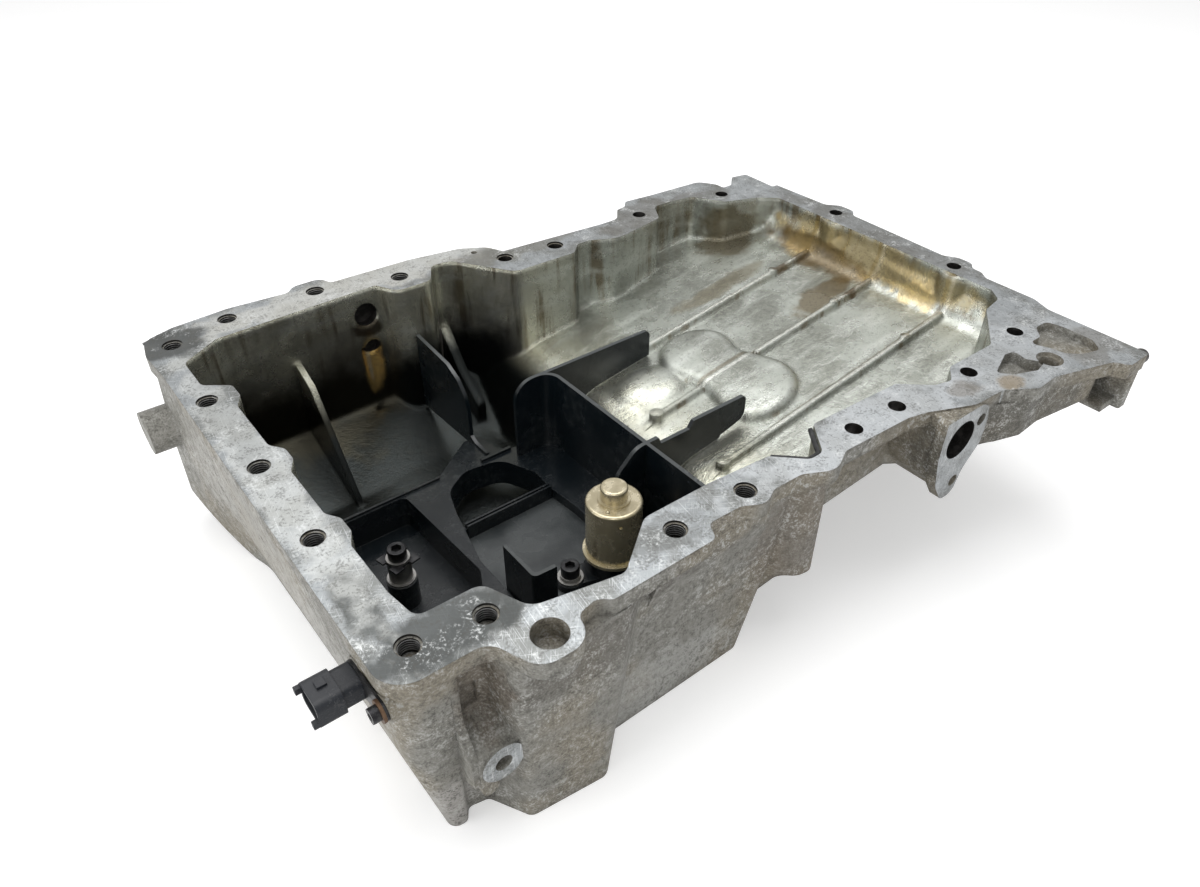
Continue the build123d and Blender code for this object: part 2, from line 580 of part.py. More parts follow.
def fences():
    """Upright fences that stop the oil surging out of the sump."""
    half = FENCE_T / 2
    top = FENCE_TOP_Z
    low = PLATE_Z - 1
    x1 = side_prism(
        [(147, low, 0), (147, top, 13), (249, top, 4), (249, low, 0)],
        X_FENCE_Y - half, X_FENCE_Y + half,
    )
    curved = prism(
        [(Y_FENCE_X - half, 2, 0), (Y_FENCE_X + half, 2, 0),
         (Y_FENCE_X + half, X_FENCE_Y + half, 11), (160, X_FENCE_Y + half, 0),
         (160, X_FENCE_Y - half, 0), (Y_FENCE_X - half, X_FENCE_Y - half, 8.6)],
        top, low,
    )
    e_wall = side_prism(
        [(151, low, 0), (151, -44, 17), (166, top, 12), (181, top, 1), (182.5, top - 4.5, 1),
         (203, top - 4.5, 1), (206, top, 1), (246, top, 3), (246, shallow_z(246) + 5, 7),
         (228, shallow_z(228) + 3, 0), (218, low, 0)],
        E_FENCE_Y - half, E_FENCE_Y + half,
    )
    over_floor = Pos(-1.2, 0, 1.2) * side_prism(CAVITY_FLOOR, -60, 320)
    b_wall = back_fin(
        B_FENCE_X - half, B_FENCE_X + half,
        [(168, low), (244, low - 4), (244, -33), (207, -36), (196, -41), (189, -49),
         (186, -58), (186, low + 5), (181, low + 2.5), (168, low + 2.5)],
    )
    lip = box(126, 147, 163.5, 165.5, low, PLATE_Z + 2)
    return (x1 & over_floor) + curved + (e_wall & over_floor) + b_wall + lip


def sensor_base():
    """Moulded base of the level sensor with its foot under the right screw."""
    body = rod(SENSOR_X, SENSOR_Y, FLOOR_Z, CAN_BASE_Z, BASE_R)
    x, y = RIGHT_SCREW
    foot = rod(x, y, RIGHT_POST_TOP, RIGHT_POST_TOP + FOOT_T, 7.5)
    arm = [(x, y - 6, 0), (SENSOR_X - 8, SENSOR_Y - 8, 0), (SENSOR_X - 8, SENSOR_Y + 8, 0),
           (x, y + 6, 0)]
    foot += prism(arm, RIGHT_POST_TOP + FOOT_T, RIGHT_POST_TOP)
    return body + foot - rod(x, y, LOW, 0, SCREW_R + SCREW_FIT)


def level_sensor():
    """Sealed can of the oil level sensor with its raised cap."""
    can = rod(SENSOR_X, SENSOR_Y, CAN_BASE_Z, CAN_TOP_Z, CAN_R)
    can = fillet(can.edges().sort_by(Axis.Z)[-1], 1.6)
    can += rod(SENSOR_X, SENSOR_Y, CAN_BASE_Z, CAN_BASE_Z + 2, CAN_RIM_R)
    cap = rod(SENSOR_X, SENSOR_Y, CAN_TOP_Z, CAN_TOP_Z + CAP_H, CAP_R)
    cap = fillet(cap.edges().sort_by(Axis.Z)[-1], 1.4)
    collar = rod(SENSOR_X, SENSOR_Y, CAN_TOP_Z, CAN_TOP_Z + 1.5, CAP_R + 1.4)
    can += cap + collar
    for angle in (35, 215):
        dx = 10.8 * cos(radians(angle))
        dy = 10.8 * sin(radians(angle))
        can += Pos(SENSOR_X + dx, SENSOR_Y + dy, CAN_TOP_Z) * Sphere(1.1)
    vent = Pos(SENSOR_X, SENSOR_Y, CAN_TOP_Z - 6.5) * Rot(0, 0, 245)
    return can - vent * Pos(CAN_R, 0, 0) * Box(1.6, 1.8, 1.8)


def cap_screw(x, y, top, length):
    """Socket head screw standing upright."""
    screw = rod(x, y, top - SCREW_HEAD_H, top, SCREW_HEAD_R)
    screw = fillet(screw.edges().sort_by(Axis.Z)[-1], 0.6)
    screw += rod(x, y, top - SCREW_HEAD_H - length, top - SCREW_HEAD_H, SCREW_R)
    socket = extrude(Pos(x, y, top - 3) * RegularPolygon(SOCKET_R, 6), amount=5)
    return screw - socket


def ring(x, y, z0, z1, r_out, r_in):
    """Flat ring round an upright axis."""
    return rod(x, y, z0, z1, r_out) - rod(x, y, z0 - 1, z1 + 1, r_in)


def left_sleeve():
    """Spacer sleeve with a foot rim under the left screw."""
    x, y = LEFT_SCREW
    inner = SCREW_R + SCREW_FIT
    tube = ring(x, y, LIP_TOP, SLEEVE_TOP, 6.2, inner)
    return tube + ring(x, y, LIP_TOP, LIP_TOP + 1.4, 7.7, inner)


def left_clip():
    """Square spring plate with notched sides under the left screw."""
    x, y = LEFT_SCREW
    turn = Pos(x, y, SLEEVE_TOP) * Rot(0, 0, 12)
    plate = turn * Pos(0, 0, CLIP_T / 2) * Box(16, 16, CLIP_T)
    for angle in range(0, 360, 90):
        plate -= turn * Rot(0, 0, angle) * Pos(7.4, 0, 0) * Box(2.4, 5, 4)
    return plate - rod(x, y, SLEEVE_TOP - 1, SLEEVE_TOP + 9, SCREW_R + SCREW_FIT)


def lock_washer():
    """Split spring washer under the right screw."""
    x, y = RIGHT_SCREW
    z = RIGHT_POST_TOP + FOOT_T + WASHER_T
    washer = ring(x, y, z, RIGHT_SCREW_TOP - SCREW_HEAD_H, 5.6, SCREW_R + SCREW_FIT)
    return washer - box(x + 2, x + 7, y - 0.5, y + 0.5, z - 1, z + 9)


def rounded_bar(x0, x1, wide, high, r):
    """Bar along the pan with a rounded section round the connector axis."""
    section = Plane.YZ * RectangleRounded(wide, high, r)
    return Pos(x0, CONN_Y, CONN_Z) * extrude(section, amount=x1 - x0, dir=(1, 0, 0))


def connector_body():
    """Moulded plug socket with its barrel through the wall."""
    face = PAD_X - PLATE_GAUGE
    body = rod_x(face, 8, CONN_Y, CONN_Z, CONN_BORE_R - CONN_FIT)
    body += rounded_bar(-25, face, 14.5, 11.5, 3)
    shell = rounded_bar(-36, -25, 17, 13.5, 3.6)
    shell -= rounded_bar(-40, -27, 14, 10.5, 2.4)
    body += shell
    body += box(-32, -28, CONN_Y - 1, CONN_Y + 3, CONN_Z + 6, CONN_Z + 8)
    body += box(-38.5, -33, CONN_Y + 6.2, CONN_Y + 8.5, CONN_Z + 1, CONN_Z + 4)
    body += box(-38.5, -33, CONN_Y - 8.5, CONN_Y - 6.2, CONN_Z - 4, CONN_Z - 1)
    body -= ring_x(SEAL_X, SEAL_X + SEAL_T, CONN_BORE_R + 1, SEAL_IN_R)
    for y in PIN_PLACES:
        body -= pin(y)
    return body


def ring_x(x0, x1, r_out, r_in):
    """Ring round the connector axis."""
    return rod_x(x0, x1, CONN_Y, CONN_Z, r_out) - rod_x(x0 - 1, x1 + 1, CONN_Y, CONN_Z, r_in)


def pin(y):
    """Flat contact blade."""
    return box(-33, -22, CONN_Y + y - 0.9, CONN_Y + y + 0.9, CONN_Z - 0.4, CONN_Z + 0.4)


def connector_pins():
    """Contact blades inside the plug socket."""
    blades = [pin(y) for y in PIN_PLACES]
    return Compound(children=blades)


def bracket():
    """Sheet bracket that holds the connector to the wall."""
    y, z = CONN_SCREW
    plate = rod_x(PAD_X - PLATE_GAUGE, PAD_X, CONN_Y, CONN_Z, 8.4)
    plate += rod_x(PAD_X - PLATE_GAUGE, PAD_X, y, z, 4.6)
    strap = [(y, z - 4.5), (CONN_Y, CONN_Z - 8), (CONN_Y, CONN_Z + 8), (y, z + 4.5)]
    plate += back_fin(PAD_X - PLATE_GAUGE, PAD_X, strap)
    plate -= rod_x(-30, 0, CONN_Y, CONN_Z, CONN_BORE_R)
    return plate - rod_x(-30, 0, y, z, CONN_SCREW_R + CONN_FIT)


def connector_screw():
    """Small screw that holds the bracket."""
    y, z = CONN_SCREW
    face = PAD_X - PLATE_GAUGE - 1.3
    screw = rod_x(face - 3.4, face, y, z, 3.3) + rod_x(face, -9.5, y, z, CONN_SCREW_R)
    return screw - rod_x(face - 4, face - 1.8, y, z, 1.6)


def connector_washer():
    """Large washer under the bracket screw."""
    y, z = CONN_SCREW
    face = PAD_X - PLATE_GAUGE
    hole = rod_x(-30, 0, y, z, CONN_SCREW_R + CONN_FIT)
    return rod_x(face - 1.3, face, y, z, 4.9) - hole


def slope_place():
    """Frame on the sloped right wall of the sump, pointing outwards."""
    x0, z0, _ = UNDERSIDE[2]
    x1, z1, _ = UNDERSIDE[3]
    lean = (x1 - x0) / (z1 - z0)
    return Pos(x0 + (DRAIN_Z - z0) * lean, DRAIN_Y, DRAIN_Z) * Rot(
        0, 90 + degrees(atan2(lean, 1)), 0
    )


def drain_boss():
    """Thick round pad for the drain plug."""
    return slope_place() * Pos(0, 0, -DRAIN_PAD_IN) * Cylinder(
        DRAIN_PAD_R, DRAIN_PAD_IN + DRAIN_PAD_OUT, align=(Align.CENTER, Align.CENTER, Align.MIN)
    )


def drain_plug():
    """Hexagon head drain plug with a collar."""
    low = (Align.CENTER, Align.CENTER, Align.MIN)
    z = DRAIN_PAD_OUT + WASHER_T
    plug = Pos(0, 0, z) * Cylinder(DRAIN_R + 4, 1.6, align=low)
    plug += extrude(Pos(0, 0, z + 1.6) * RegularPolygon(8.7, 6), amount=6)
    plug += Pos(0, 0, z - DRAIN_SHANK) * Cylinder(DRAIN_R, DRAIN_SHANK, align=low)
    return slope_place() * plug


def drain_washer():
    """Sealing ring of the drain plug."""
    low = (Align.CENTER, Align.CENTER, Align.MIN)
    washer = Cylinder(DRAIN_R + 3.4, WASHER_T, align=low) - Cylinder(
        DRAIN_R + SCREW_FIT, WASHER_T, align=low
    )
    return slope_place() * Pos(0, 0, DRAIN_PAD_OUT) * washer


def dowel_pin():
    """Locating pin in the end face of the far front ear."""
    pin_r = DOWEL_R - CONN_FIT
    groove = DOWEL_FACE + DOWEL_GROOVE
    body = rod_x(DOWEL_SEAT, DOWEL_FACE, DOWEL_Y, DOWEL_Z, pin_r)
    body += rod_x(DOWEL_FACE, groove, DOWEL_Y, DOWEL_Z, pin_r - 0.4)
    out = rod_x(groove, DOWEL_FACE + DOWEL_OUT, DOWEL_Y, DOWEL_Z, pin_r)
    return body + fillet(out.edges().sort_by(Axis.X)[-1], DOWEL_TIP_R)


def bead(points, bend, r):
    """Round bead of sealant along a bent line."""
    path = FilletPolyline(*points, radius=bend)
    start = Plane(origin=path @ 0, z_dir=path % 0)
    return sweep(start * Circle(r), path=path)


def sealant_curl():
    """Torn curl of sealant along the front notch."""
    points = [(187.6, -3.3, -1.8), (200.1, -15.4, -1.8), (207.2, -15.4, -1.8), (218.3, -0.4, -1.8)]
    return bead(points, 4.2, 1.3)


def sealant_strand():
    """Thin strand of sealant on the outer edge at the back left corner."""
    points = [(-14.3, 279.9, -2), (2.7, 285.7, -2), (21, 288, -2)]
    return bead(points, 14, 0.8)


PIECES = {
    "baffle_tray": baffle_tray,
    "sensor_base": sensor_base,
    "level_sensor": level_sensor,
    "left_screw": lambda: cap_screw(*LEFT_SCREW, LEFT_SCREW_TOP, 32),
    "left_washer": lambda: ring(
        *LEFT_SCREW, SLEEVE_TOP + CLIP_T, SLEEVE_TOP + CLIP_T + WASHER_T, 6.3,
        SCREW_R + SCREW_FIT,
    ),
    "left_clip": left_clip,
    "left_sleeve": left_sleeve,
    "right_screw": lambda: cap_screw(*RIGHT_SCREW, RIGHT_SCREW_TOP, 22),
    "right_lock_washer": lock_washer,
    "right_flat_washer": lambda: ring(
        *RIGHT_SCREW, RIGHT_POST_TOP + FOOT_T, RIGHT_POST_TOP + FOOT_T + WASHER_T, 7,
        SCREW_R + SCREW_FIT,
    ),
    "connector_body": connector_body,
    "connector_pins": connector_pins,
    "connector_seal": lambda: ring_x(
        SEAL_X, SEAL_X + SEAL_T, CONN_BORE_R - CONN_FIT / 2, SEAL_IN_R
    ),
    "connector_bracket": bracket,
    "connector_screw": connector_screw,
    "connector_washer": connector_washer,
    "drain_plug": drain_plug,
    "drain_washer": drain_washer,
    "dowel_pin": dowel_pin,
    "sealant_curl": sealant_curl,
    "sealant_strand": sealant_strand,
}


def main():
    """Build every piece, move it to the common origin and write it out."""
    os.makedirs("parts", exist_ok=True)
    shift = Pos(-ORIGIN[0], -ORIGIN[1], -ORIGIN[2])
    for name, block in casting_blocks().items():
        export_step(shift * block, f"parts/{name}.step")
    for name, make in PIECES.items():
        export_step(shift * make(), f"parts/{name}.step")


if __name__ == "__main__":
    main()
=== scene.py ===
"""Looks of a used cast aluminium engine oil pan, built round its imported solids."""

import logging
from dataclasses import dataclass
from enum import Enum
from math import cos, hypot, pi, radians, sin
from typing import Iterable, Sequence, Union

import bmesh
import bpy
from mathutils import Matrix, Vector
from mathutils.bvhtree import BVHTree


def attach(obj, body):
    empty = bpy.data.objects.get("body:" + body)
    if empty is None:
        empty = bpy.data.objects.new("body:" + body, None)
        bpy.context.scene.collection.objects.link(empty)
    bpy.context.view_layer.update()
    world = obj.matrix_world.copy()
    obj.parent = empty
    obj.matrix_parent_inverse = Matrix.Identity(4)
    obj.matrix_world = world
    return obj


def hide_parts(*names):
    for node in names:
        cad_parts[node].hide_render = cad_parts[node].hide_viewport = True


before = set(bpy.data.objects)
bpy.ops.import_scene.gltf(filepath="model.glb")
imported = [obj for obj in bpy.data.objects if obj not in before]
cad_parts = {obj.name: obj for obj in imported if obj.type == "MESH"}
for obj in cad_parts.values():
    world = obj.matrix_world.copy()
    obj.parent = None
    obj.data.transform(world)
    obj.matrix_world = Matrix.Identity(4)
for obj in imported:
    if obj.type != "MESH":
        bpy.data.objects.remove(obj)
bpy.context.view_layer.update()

logging.basicConfig(level=logging.INFO, format="%(levelname)s %(message)s")
LOG = logging.getLogger("oil_pan")

Colour = tuple[float, float, float]
Point = tuple[float, float, float]
Wire = Union[float, Point, "bpy.types.NodeSocket"]

# The drawing's zero is the front left bolt hole on the gasket face, in millimetres.
ORIGIN: Point = (198.0, 110.5, -113.0)
BODY = "root"

# Bolt holes of the gasket face on the drawing, the blind ones over the sump first.
BLIND_HOLES = (
    (0, 0), (30.8, -4.5), (118.9, -13.8), (160.1, -14), (-4.1, 74.8), (-4.3, 134.2),
    (-5.4, 200.7), (134.5, 261.1), (-2.4, 265.8), (31.7, 275.7), (85.3, 275.7))
THROUGH_HOLES = (
    (200.4, 242.9), (236.4, 238), (233.8, -13.9), (265.5, -14.9), (320.5, -18.7),
    (376.7, -10.2), (418.3, 58.9), (422.8, 158.9), (382, 232.1), (311.1, 241.3))

# The shallow floor falls towards the sump from its height at the far end.
FLOOR_END = 402.0
FLOOR_HEIGHT = -26.0
FLOOR_SLOPE = 0.155

# Vertices closer than this in metres become one, in a node's copy and in a joined mesh.
COPY_WELD = 0.000002
JOIN_WELD = 0.000004


def metres(x: float, y: float, z: float) -> Vector:
    """Place in the model for a place on the drawing.

    Args:
        x, y, z: millimetres from the front left bolt hole.
    Returns:
        The place in metres in the frame.
    """
    return Vector(((x - ORIGIN[0]) / 1000, (y - ORIGIN[1]) / 1000, (z - ORIGIN[2]) / 1000))


def drawing(place: Vector) -> Vector:
    """Place on the drawing for a place in the model.

    Args:
        place: the place in metres in the frame.
    Returns:
        Millimetres from the front left bolt hole.
    """
    return Vector((place.x * 1000 + ORIGIN[0], place.y * 1000 + ORIGIN[1],
                   place.z * 1000 + ORIGIN[2]))


class Zone(Enum):
    """Kinds of surface on the casting."""

    OUTER = 0
    INNER = 1
    MACHINED = 2
    BORE = 3


class Graph:
    """Short way of writing a node tree."""

    def __init__(self, tree: bpy.types.NodeTree) -> None:
        """Starts on an empty tree."""
        self.tree = tree

    def add(self, kind: str, **settings: object) -> bpy.types.Node:
        """A new node with its settings.

        Args:
            kind: Blender's node type.
            settings: properties of the node.
        Returns:
            The node.
        """
        node = self.tree.nodes.new(kind)
        for name, value in settings.items():
            setattr(node, name, value)
        return node

    def feed(self, socket: bpy.types.NodeSocket, value: Wire) -> None:
        """Sets a socket to a constant or links an output to it.

        Args:
            socket: the input socket.
            value: a number, a vector or colour, or another node's output.
        """
        if isinstance(value, bpy.types.NodeSocket):
            self.tree.links.new(value, socket)
        elif isinstance(value, (int, float)) or len(value) == len(socket.default_value):
            socket.default_value = value
        else:
            socket.default_value = (*value, 1.0)

    def math(self, operation: str, a: Wire, b: Wire = 0.0) -> Wire:
        """Sum, product or another operation on numbers.

        Args:
            operation: Blender's name of the operation.
            a, b: the numbers.
        Returns:
            The result.
        """
        node = self.add("ShaderNodeMath", operation=operation)
        self.feed(node.inputs[0], a)
        self.feed(node.inputs[1], b)
        return node.outputs[0]

    def vector(self, operation: str, a: Wire, b: Wire = (0, 0, 0), c: Wire = (0, 0, 0)) -> Wire:
        """Sum, product or another operation on vectors.

        Args:
            operation: Blender's name of the operation.
            a, b, c: the vectors.
        Returns:
            The result, which is a number for LENGTH.
        """
        node = self.add("ShaderNodeVectorMath", operation=operation)
        self.feed(node.inputs[0], a)
        if operation != "LENGTH":
            self.feed(node.inputs[1], b)
        if operation == "MULTIPLY_ADD":
            self.feed(node.inputs[2], c)
        return node.outputs[1 if operation == "LENGTH" else 0]

    def parts(self, vector: Wire) -> tuple[Wire, Wire, Wire]:
        """Takes a vector apart.

        Args:
            vector: the vector.
        Returns:
            Its x, y and z.
        """
        node = self.add("ShaderNodeSeparateXYZ")
        self.feed(node.inputs[0], vector)
        return node.outputs[0], node.outputs[1], node.outputs[2]

    def step(self, value: Wire, low: float, high: float,
             to: tuple[float, float] = (0.0, 1.0)) -> Wire:
        """Smooth step between two limits.

        Args:
            value: the value that is looked at.
            low, high: where the step starts and ends.
            to: what comes out at its two ends.
        Returns:
            The stepped value.
        """
        node = self.add("ShaderNodeMapRange", interpolation_type="SMOOTHSTEP")
        self.feed(node.inputs[0], value)
        for socket, number in zip(node.inputs[1:5], (low, high, *to)):
            socket.default_value = number
        return node.outputs[0]

    def mix(self, amount: Wire, a: Wire, b: Wire) -> Wire:
        """Lays one colour over another.

        Args:
            amount: share of the upper colour.
            a, b: the lower and the upper colour.
        Returns:
            The mixed colour.
        """
        node = self.add("ShaderNodeMix", data_type="RGBA")
        self.feed(node.inputs[0], amount)
        self.feed(node.inputs[6], a)
        self.feed(node.inputs[7], b)
        return node.outputs[2]

    def noise(self, place: Wire, size: float, detail: float = 3.0, rough: float = 0.5) -> Wire:
        """Cloudy noise.

        Args:
            place: where it is read, in millimetres.
            size: rough size of its lumps in millimetres.
            detail: layers of finer noise.
            rough: strength of the finer layers.
        Returns:
            A value round one half.
        """
        node = self.add("ShaderNodeTexNoise")
        self.feed(node.inputs["Vector"], place)
        node.inputs["Scale"].default_value = 1.0 / size
        node.inputs["Detail"].default_value = detail
        node.inputs["Roughness"].default_value = rough
        return node.outputs[0]

    def use(self, group: bpy.types.NodeTree, **values: Wire) -> bpy.types.Node:
        """Places a node group with its own values.

        Args:
            group: the node group.
            values: socket values, with underscores for the spaces of the names.
        Returns:
            The group's node.
        """
        node = self.add("ShaderNodeGroup", node_tree=group)
        for name, value in values.items():
            self.feed(node.inputs[name.replace("_", " ")], value)
        return node


def new_group(name: str, inputs: Sequence[tuple[str, str]], outputs: Sequence[tuple[str, str]]
              ) -> tuple[bpy.types.NodeTree, Graph, bpy.types.Node, bpy.types.Node]:
    """An empty shader group with its sockets.

    Args:
        name: name of the effect.
        inputs: names and kinds (Float, Vector or Color) of the inputs.
        outputs: the same for the outputs.
    Returns:
        The group, its graph, its input node and its output node.
    """
    tree = bpy.data.node_groups.new(name, "ShaderNodeTree")
    for way, sockets in (("INPUT", inputs), ("OUTPUT", outputs)):
        for label, kind in sockets:
            tree.interface.new_socket(label, in_out=way, socket_type=f"NodeSocket{kind}")
    graph = Graph(tree)
    return tree, graph, graph.add("NodeGroupInput"), graph.add("NodeGroupOutput")


def drawing_group() -> bpy.types.NodeTree:
    """Object coordinates turned into millimetres on the drawing.

    Returns:
        The node group.
    """
    tree, graph, _, out = new_group("drawing_place", [], [("Place", "Vector")])
    place = graph.add("ShaderNodeTexCoord").outputs["Object"]
    scaled = graph.vector("MULTIPLY_ADD", place, (1000, 1000, 1000), ORIGIN)
    graph.feed(out.inputs[0], scaled)
    return tree


def spot_group() -> bpy.types.NodeTree:
    """Ragged blot round a centre: stains, smears and rubbed places.

    Returns:
        The node group.
    """
    tree, graph, given, out = new_group(
        "ragged_spot",
        [("Place", "Vector"), ("Centre", "Vector"), ("Size", "Vector"), ("Raggedness", "Float"),
         ("Grain", "Float")],
        [("Amount", "Float")])
    away = graph.vector("SUBTRACT", given.outputs["Place"], given.outputs["Centre"])
    reach = graph.vector("LENGTH", graph.vector("DIVIDE", away, given.outputs["Size"]))
    noise = graph.add("ShaderNodeTexNoise")
    graph.feed(noise.inputs["Vector"], given.outputs["Place"])
    graph.feed(noise.inputs["Scale"], given.outputs["Grain"])
    noise.inputs["Detail"].default_value = 5.0
    wobble = graph.math("MULTIPLY", graph.math("SUBTRACT", noise.outputs[0], 0.5),
                        given.outputs["Raggedness"])
    edge = graph.math("ADD", reach, wobble)
    graph.feed(out.inputs[0], graph.step(edge, 0.65, 1.1, (1.0, 0.0)))
    return tree


def speckle_group() -> bpy.types.NodeTree:
    """Fine two-sized grain of a cast skin, as two masks and a height.

    Returns:
        The node group.
    """
    tree, graph, given, out = new_group(
        "cast_grain", [("Place", "Vector"), ("Coarse", "Float"), ("Fine", "Float")],
        [("Light", "Float"), ("Dark", "Float"), ("Height", "Float")])
    layers = []
    for name in ("Coarse", "Fine"):
        noise = graph.add("ShaderNodeTexNoise")
        graph.feed(noise.inputs["Vector"], given.outputs["Place"])
        graph.feed(noise.inputs["Scale"], given.outputs[name])
        noise.inputs["Detail"].default_value = 4.0
        noise.inputs["Roughness"].default_value = 0.62
        layers.append(noise.outputs[0])
    both = graph.math("ADD", graph.math("MULTIPLY", layers[0], 0.45),
                      graph.math("MULTIPLY", layers[1], 0.55))
    graph.feed(out.inputs["Light"], graph.step(both, 0.5, 0.6))
    graph.feed(out.inputs["Dark"], graph.step(both, 0.49, 0.4))
    graph.feed(out.inputs["Height"], both)
    return tree


def scratch_group() -> bpy.types.NodeTree:
    """Thin scratches and milling lines in a plan view, as a mask.

    Returns:
        The node group.
    """
    tree, graph, given, out = new_group(
        "scratches", [("Place", "Vector"), ("Width", "Float"), ("Length", "Float"),
                      ("Turn", "Vector")], [("Amount", "Float")])
    turned = graph.add("ShaderNodeVectorRotate", rotation_type="EULER_XYZ")
    graph.feed(turned.inputs["Vector"], given.outputs["Place"])
    graph.feed(turned.inputs["Rotation"], given.outputs["Turn"])
    x, y, z = graph.parts(turned.outputs[0])
    drawn = graph.add("ShaderNodeCombineXYZ")
    graph.feed(drawn.inputs[0], graph.math("DIVIDE", x, given.outputs["Length"]))
    graph.feed(drawn.inputs[1], graph.math("DIVIDE", y, given.outputs["Width"]))
    graph.feed(drawn.inputs[2], graph.math("DIVIDE", z, given.outputs["Length"]))
    lines = graph.noise(drawn.outputs[0], 1.0, 2.0)
    graph.feed(out.inputs[0], graph.step(lines, 0.6, 0.72))
    return tree


PLACE = drawing_group()
SPOT = spot_group()
GRAIN = speckle_group()
SCRATCH = scratch_group()


@dataclass(frozen=True)
class Blot:
    """One stain or smear at a known place: colour, centre, size and strength."""

    colour: Colour
    centre: Point
    size: Point
    strength: float = 1.0
    ragged: float = 1.4
    grain: float = 0.12


class Surface:
    """A material being written: its graph, its place and its shader."""

    def __init__(self, name: str) -> None:
        """Makes the material with an empty Principled shader."""
        self.material = bpy.data.materials.new(name)
        self.material.use_nodes = True
        self.graph = Graph(self.material.node_tree)
        self.shader = self.material.node_tree.nodes["Principled BSDF"]
        self.place = self.graph.use(PLACE).outputs[0]

    def blots(self, colour: Wire, blots: Iterable[Blot]) -> Wire:
        """Lays blots over a colour.

        Args:
            colour: the colour below.
            blots: the blots, lowest first.
        Returns:
            The colour with the blots on it.
        """
        for blot in blots:
            amount = self.spot(blot.centre, blot.size, blot.ragged, blot.grain)
            amount = self.graph.math("MULTIPLY", amount, blot.strength)
            colour = self.graph.mix(amount, colour, blot.colour)
        return colour

    def spot(self, centre: Point, size: Point, ragged: float = 1.4, grain: float = 0.12) -> Wire:
        """Mask of a ragged spot.

        Args:
            centre: its centre on the drawing.
            size: its half widths in millimetres.
            ragged: how far its rim strays.
            grain: fineness of the rim, in waves per millimetre.
        Returns:
            The mask.
        """
        return self.graph.use(SPOT, Place=self.place, Centre=centre, Size=size,
                              Raggedness=ragged, Grain=grain).outputs[0]

    def finish(self, colour: Wire, roughness: Wire, metallic: float, height: Wire = 0.5,
               depth: float = 0.0, edge: float = 0.0, coat: float = 0.0) -> bpy.types.Material:
        """Connects the shader.

        Args:
            colour: base colour.
            roughness: roughness.
            metallic: metal share of the whole surface.
            height: relief from 0 to 1.
            depth: height of the relief in metres.
            edge: radius by which the shading rounds the edges, in metres.
            coat: thickness of a clear oil film.
        Returns:
            The material.
        """
        graph = self.graph
        graph.feed(self.shader.inputs["Base Color"], colour)
        graph.feed(self.shader.inputs["Roughness"], roughness)
        self.shader.inputs["Metallic"].default_value = metallic
        if not metallic:
            self.shader.inputs["Specular IOR Level"].default_value = 0.35
        if coat:
            self.shader.inputs["Coat Weight"].default_value = coat
            self.shader.inputs["Coat Roughness"].default_value = 0.12
        normal = None
        if edge:
            rounding = graph.add("ShaderNodeBevel", samples=3)
            rounding.inputs["Radius"].default_value = edge
            normal = rounding.outputs[0]
        if depth:
            bump = graph.add("ShaderNodeBump")
            bump.inputs["Distance"].default_value = depth
            graph.feed(bump.inputs["Height"], height)
            if normal:
                graph.feed(bump.inputs["Normal"], normal)
            normal = bump.outputs[0]
        if normal:
            graph.feed(self.shader.inputs["Normal"], normal)
        return self.material


@dataclass(frozen=True)
class OuterCast:
    """Weathered skin of the outside walls: warm grey with pale and dark specks."""

    ground: Colour = (0.205, 0.20, 0.178)
    pale: Colour = (0.45, 0.45, 0.43)
    dark: Colour = (0.055, 0.052, 0.045)
    tan: Colour = (0.235, 0.20, 0.14)
    coarse: float = 0.27
    fine: float = 0.95
    relief: float = 0.0007
    blots: tuple[Blot, ...] = (
        Blot((0.36, 0.35, 0.32), (-20, 150, -40), (30, 110, 40), 0.6),
        Blot((0.42, 0.41, 0.39), (-14, 60, -70), (20, 60, 36), 0.5),
        Blot((0.09, 0.08, 0.065), (90, -30, -24), (90, 16, 16), 0.55),
        Blot((0.40, 0.40, 0.38), (110, -16, -95), (60, 20, 22), 0.55),
        Blot((0.16, 0.13, 0.10), (200, -22, -50), (40, 20, 40), 0.5),
        Blot((0.09, 0.085, 0.07), (320, -40, -24), (90, 30, 22), 0.7),
        Blot((0.44, 0.42, 0.40), (0, -14, -98), (16, 14, 24), 0.5),
        Blot((0.15, 0.12, 0.09), (20, -14, -30), (14, 16, 26), 0.6),
    )

    def build(self) -> bpy.types.Material:
        """Writes the material.

        Returns:
            The material.
        """
        s = Surface("outer_cast")
        g = s.graph
        grain = g.use(GRAIN, Place=s.place, Coarse=self.coarse, Fine=self.fine)
        warm = g.step(g.noise(s.place, 45.0, 2.0), 0.42, 0.62)
        colour = g.mix(g.math("MULTIPLY", warm, 0.6), self.ground, self.tan)
        colour = s.blots(colour, self.blots)
        patch = g.step(g.noise(s.place, 22.0, 4.0), 0.35, 0.65, (0.25, 1.0))
        pale = g.math("MULTIPLY", grain.outputs["Light"], patch)
        colour = g.mix(g.math("MULTIPLY", pale, 0.85), colour, self.pale)
        shade = g.step(g.noise(s.place, 30.0, 3.0), 0.35, 0.65, (0.75, 0.35))
        colour = g.mix(g.math("MULTIPLY", grain.outputs["Dark"], shade), colour, self.dark)
        rough = g.step(g.noise(s.place, 6.0, 3.0), 0.3, 0.7, (0.42, 0.66))
        return s.finish(colour, rough, 0.3, grain.outputs["Height"], self.relief, 0.003)


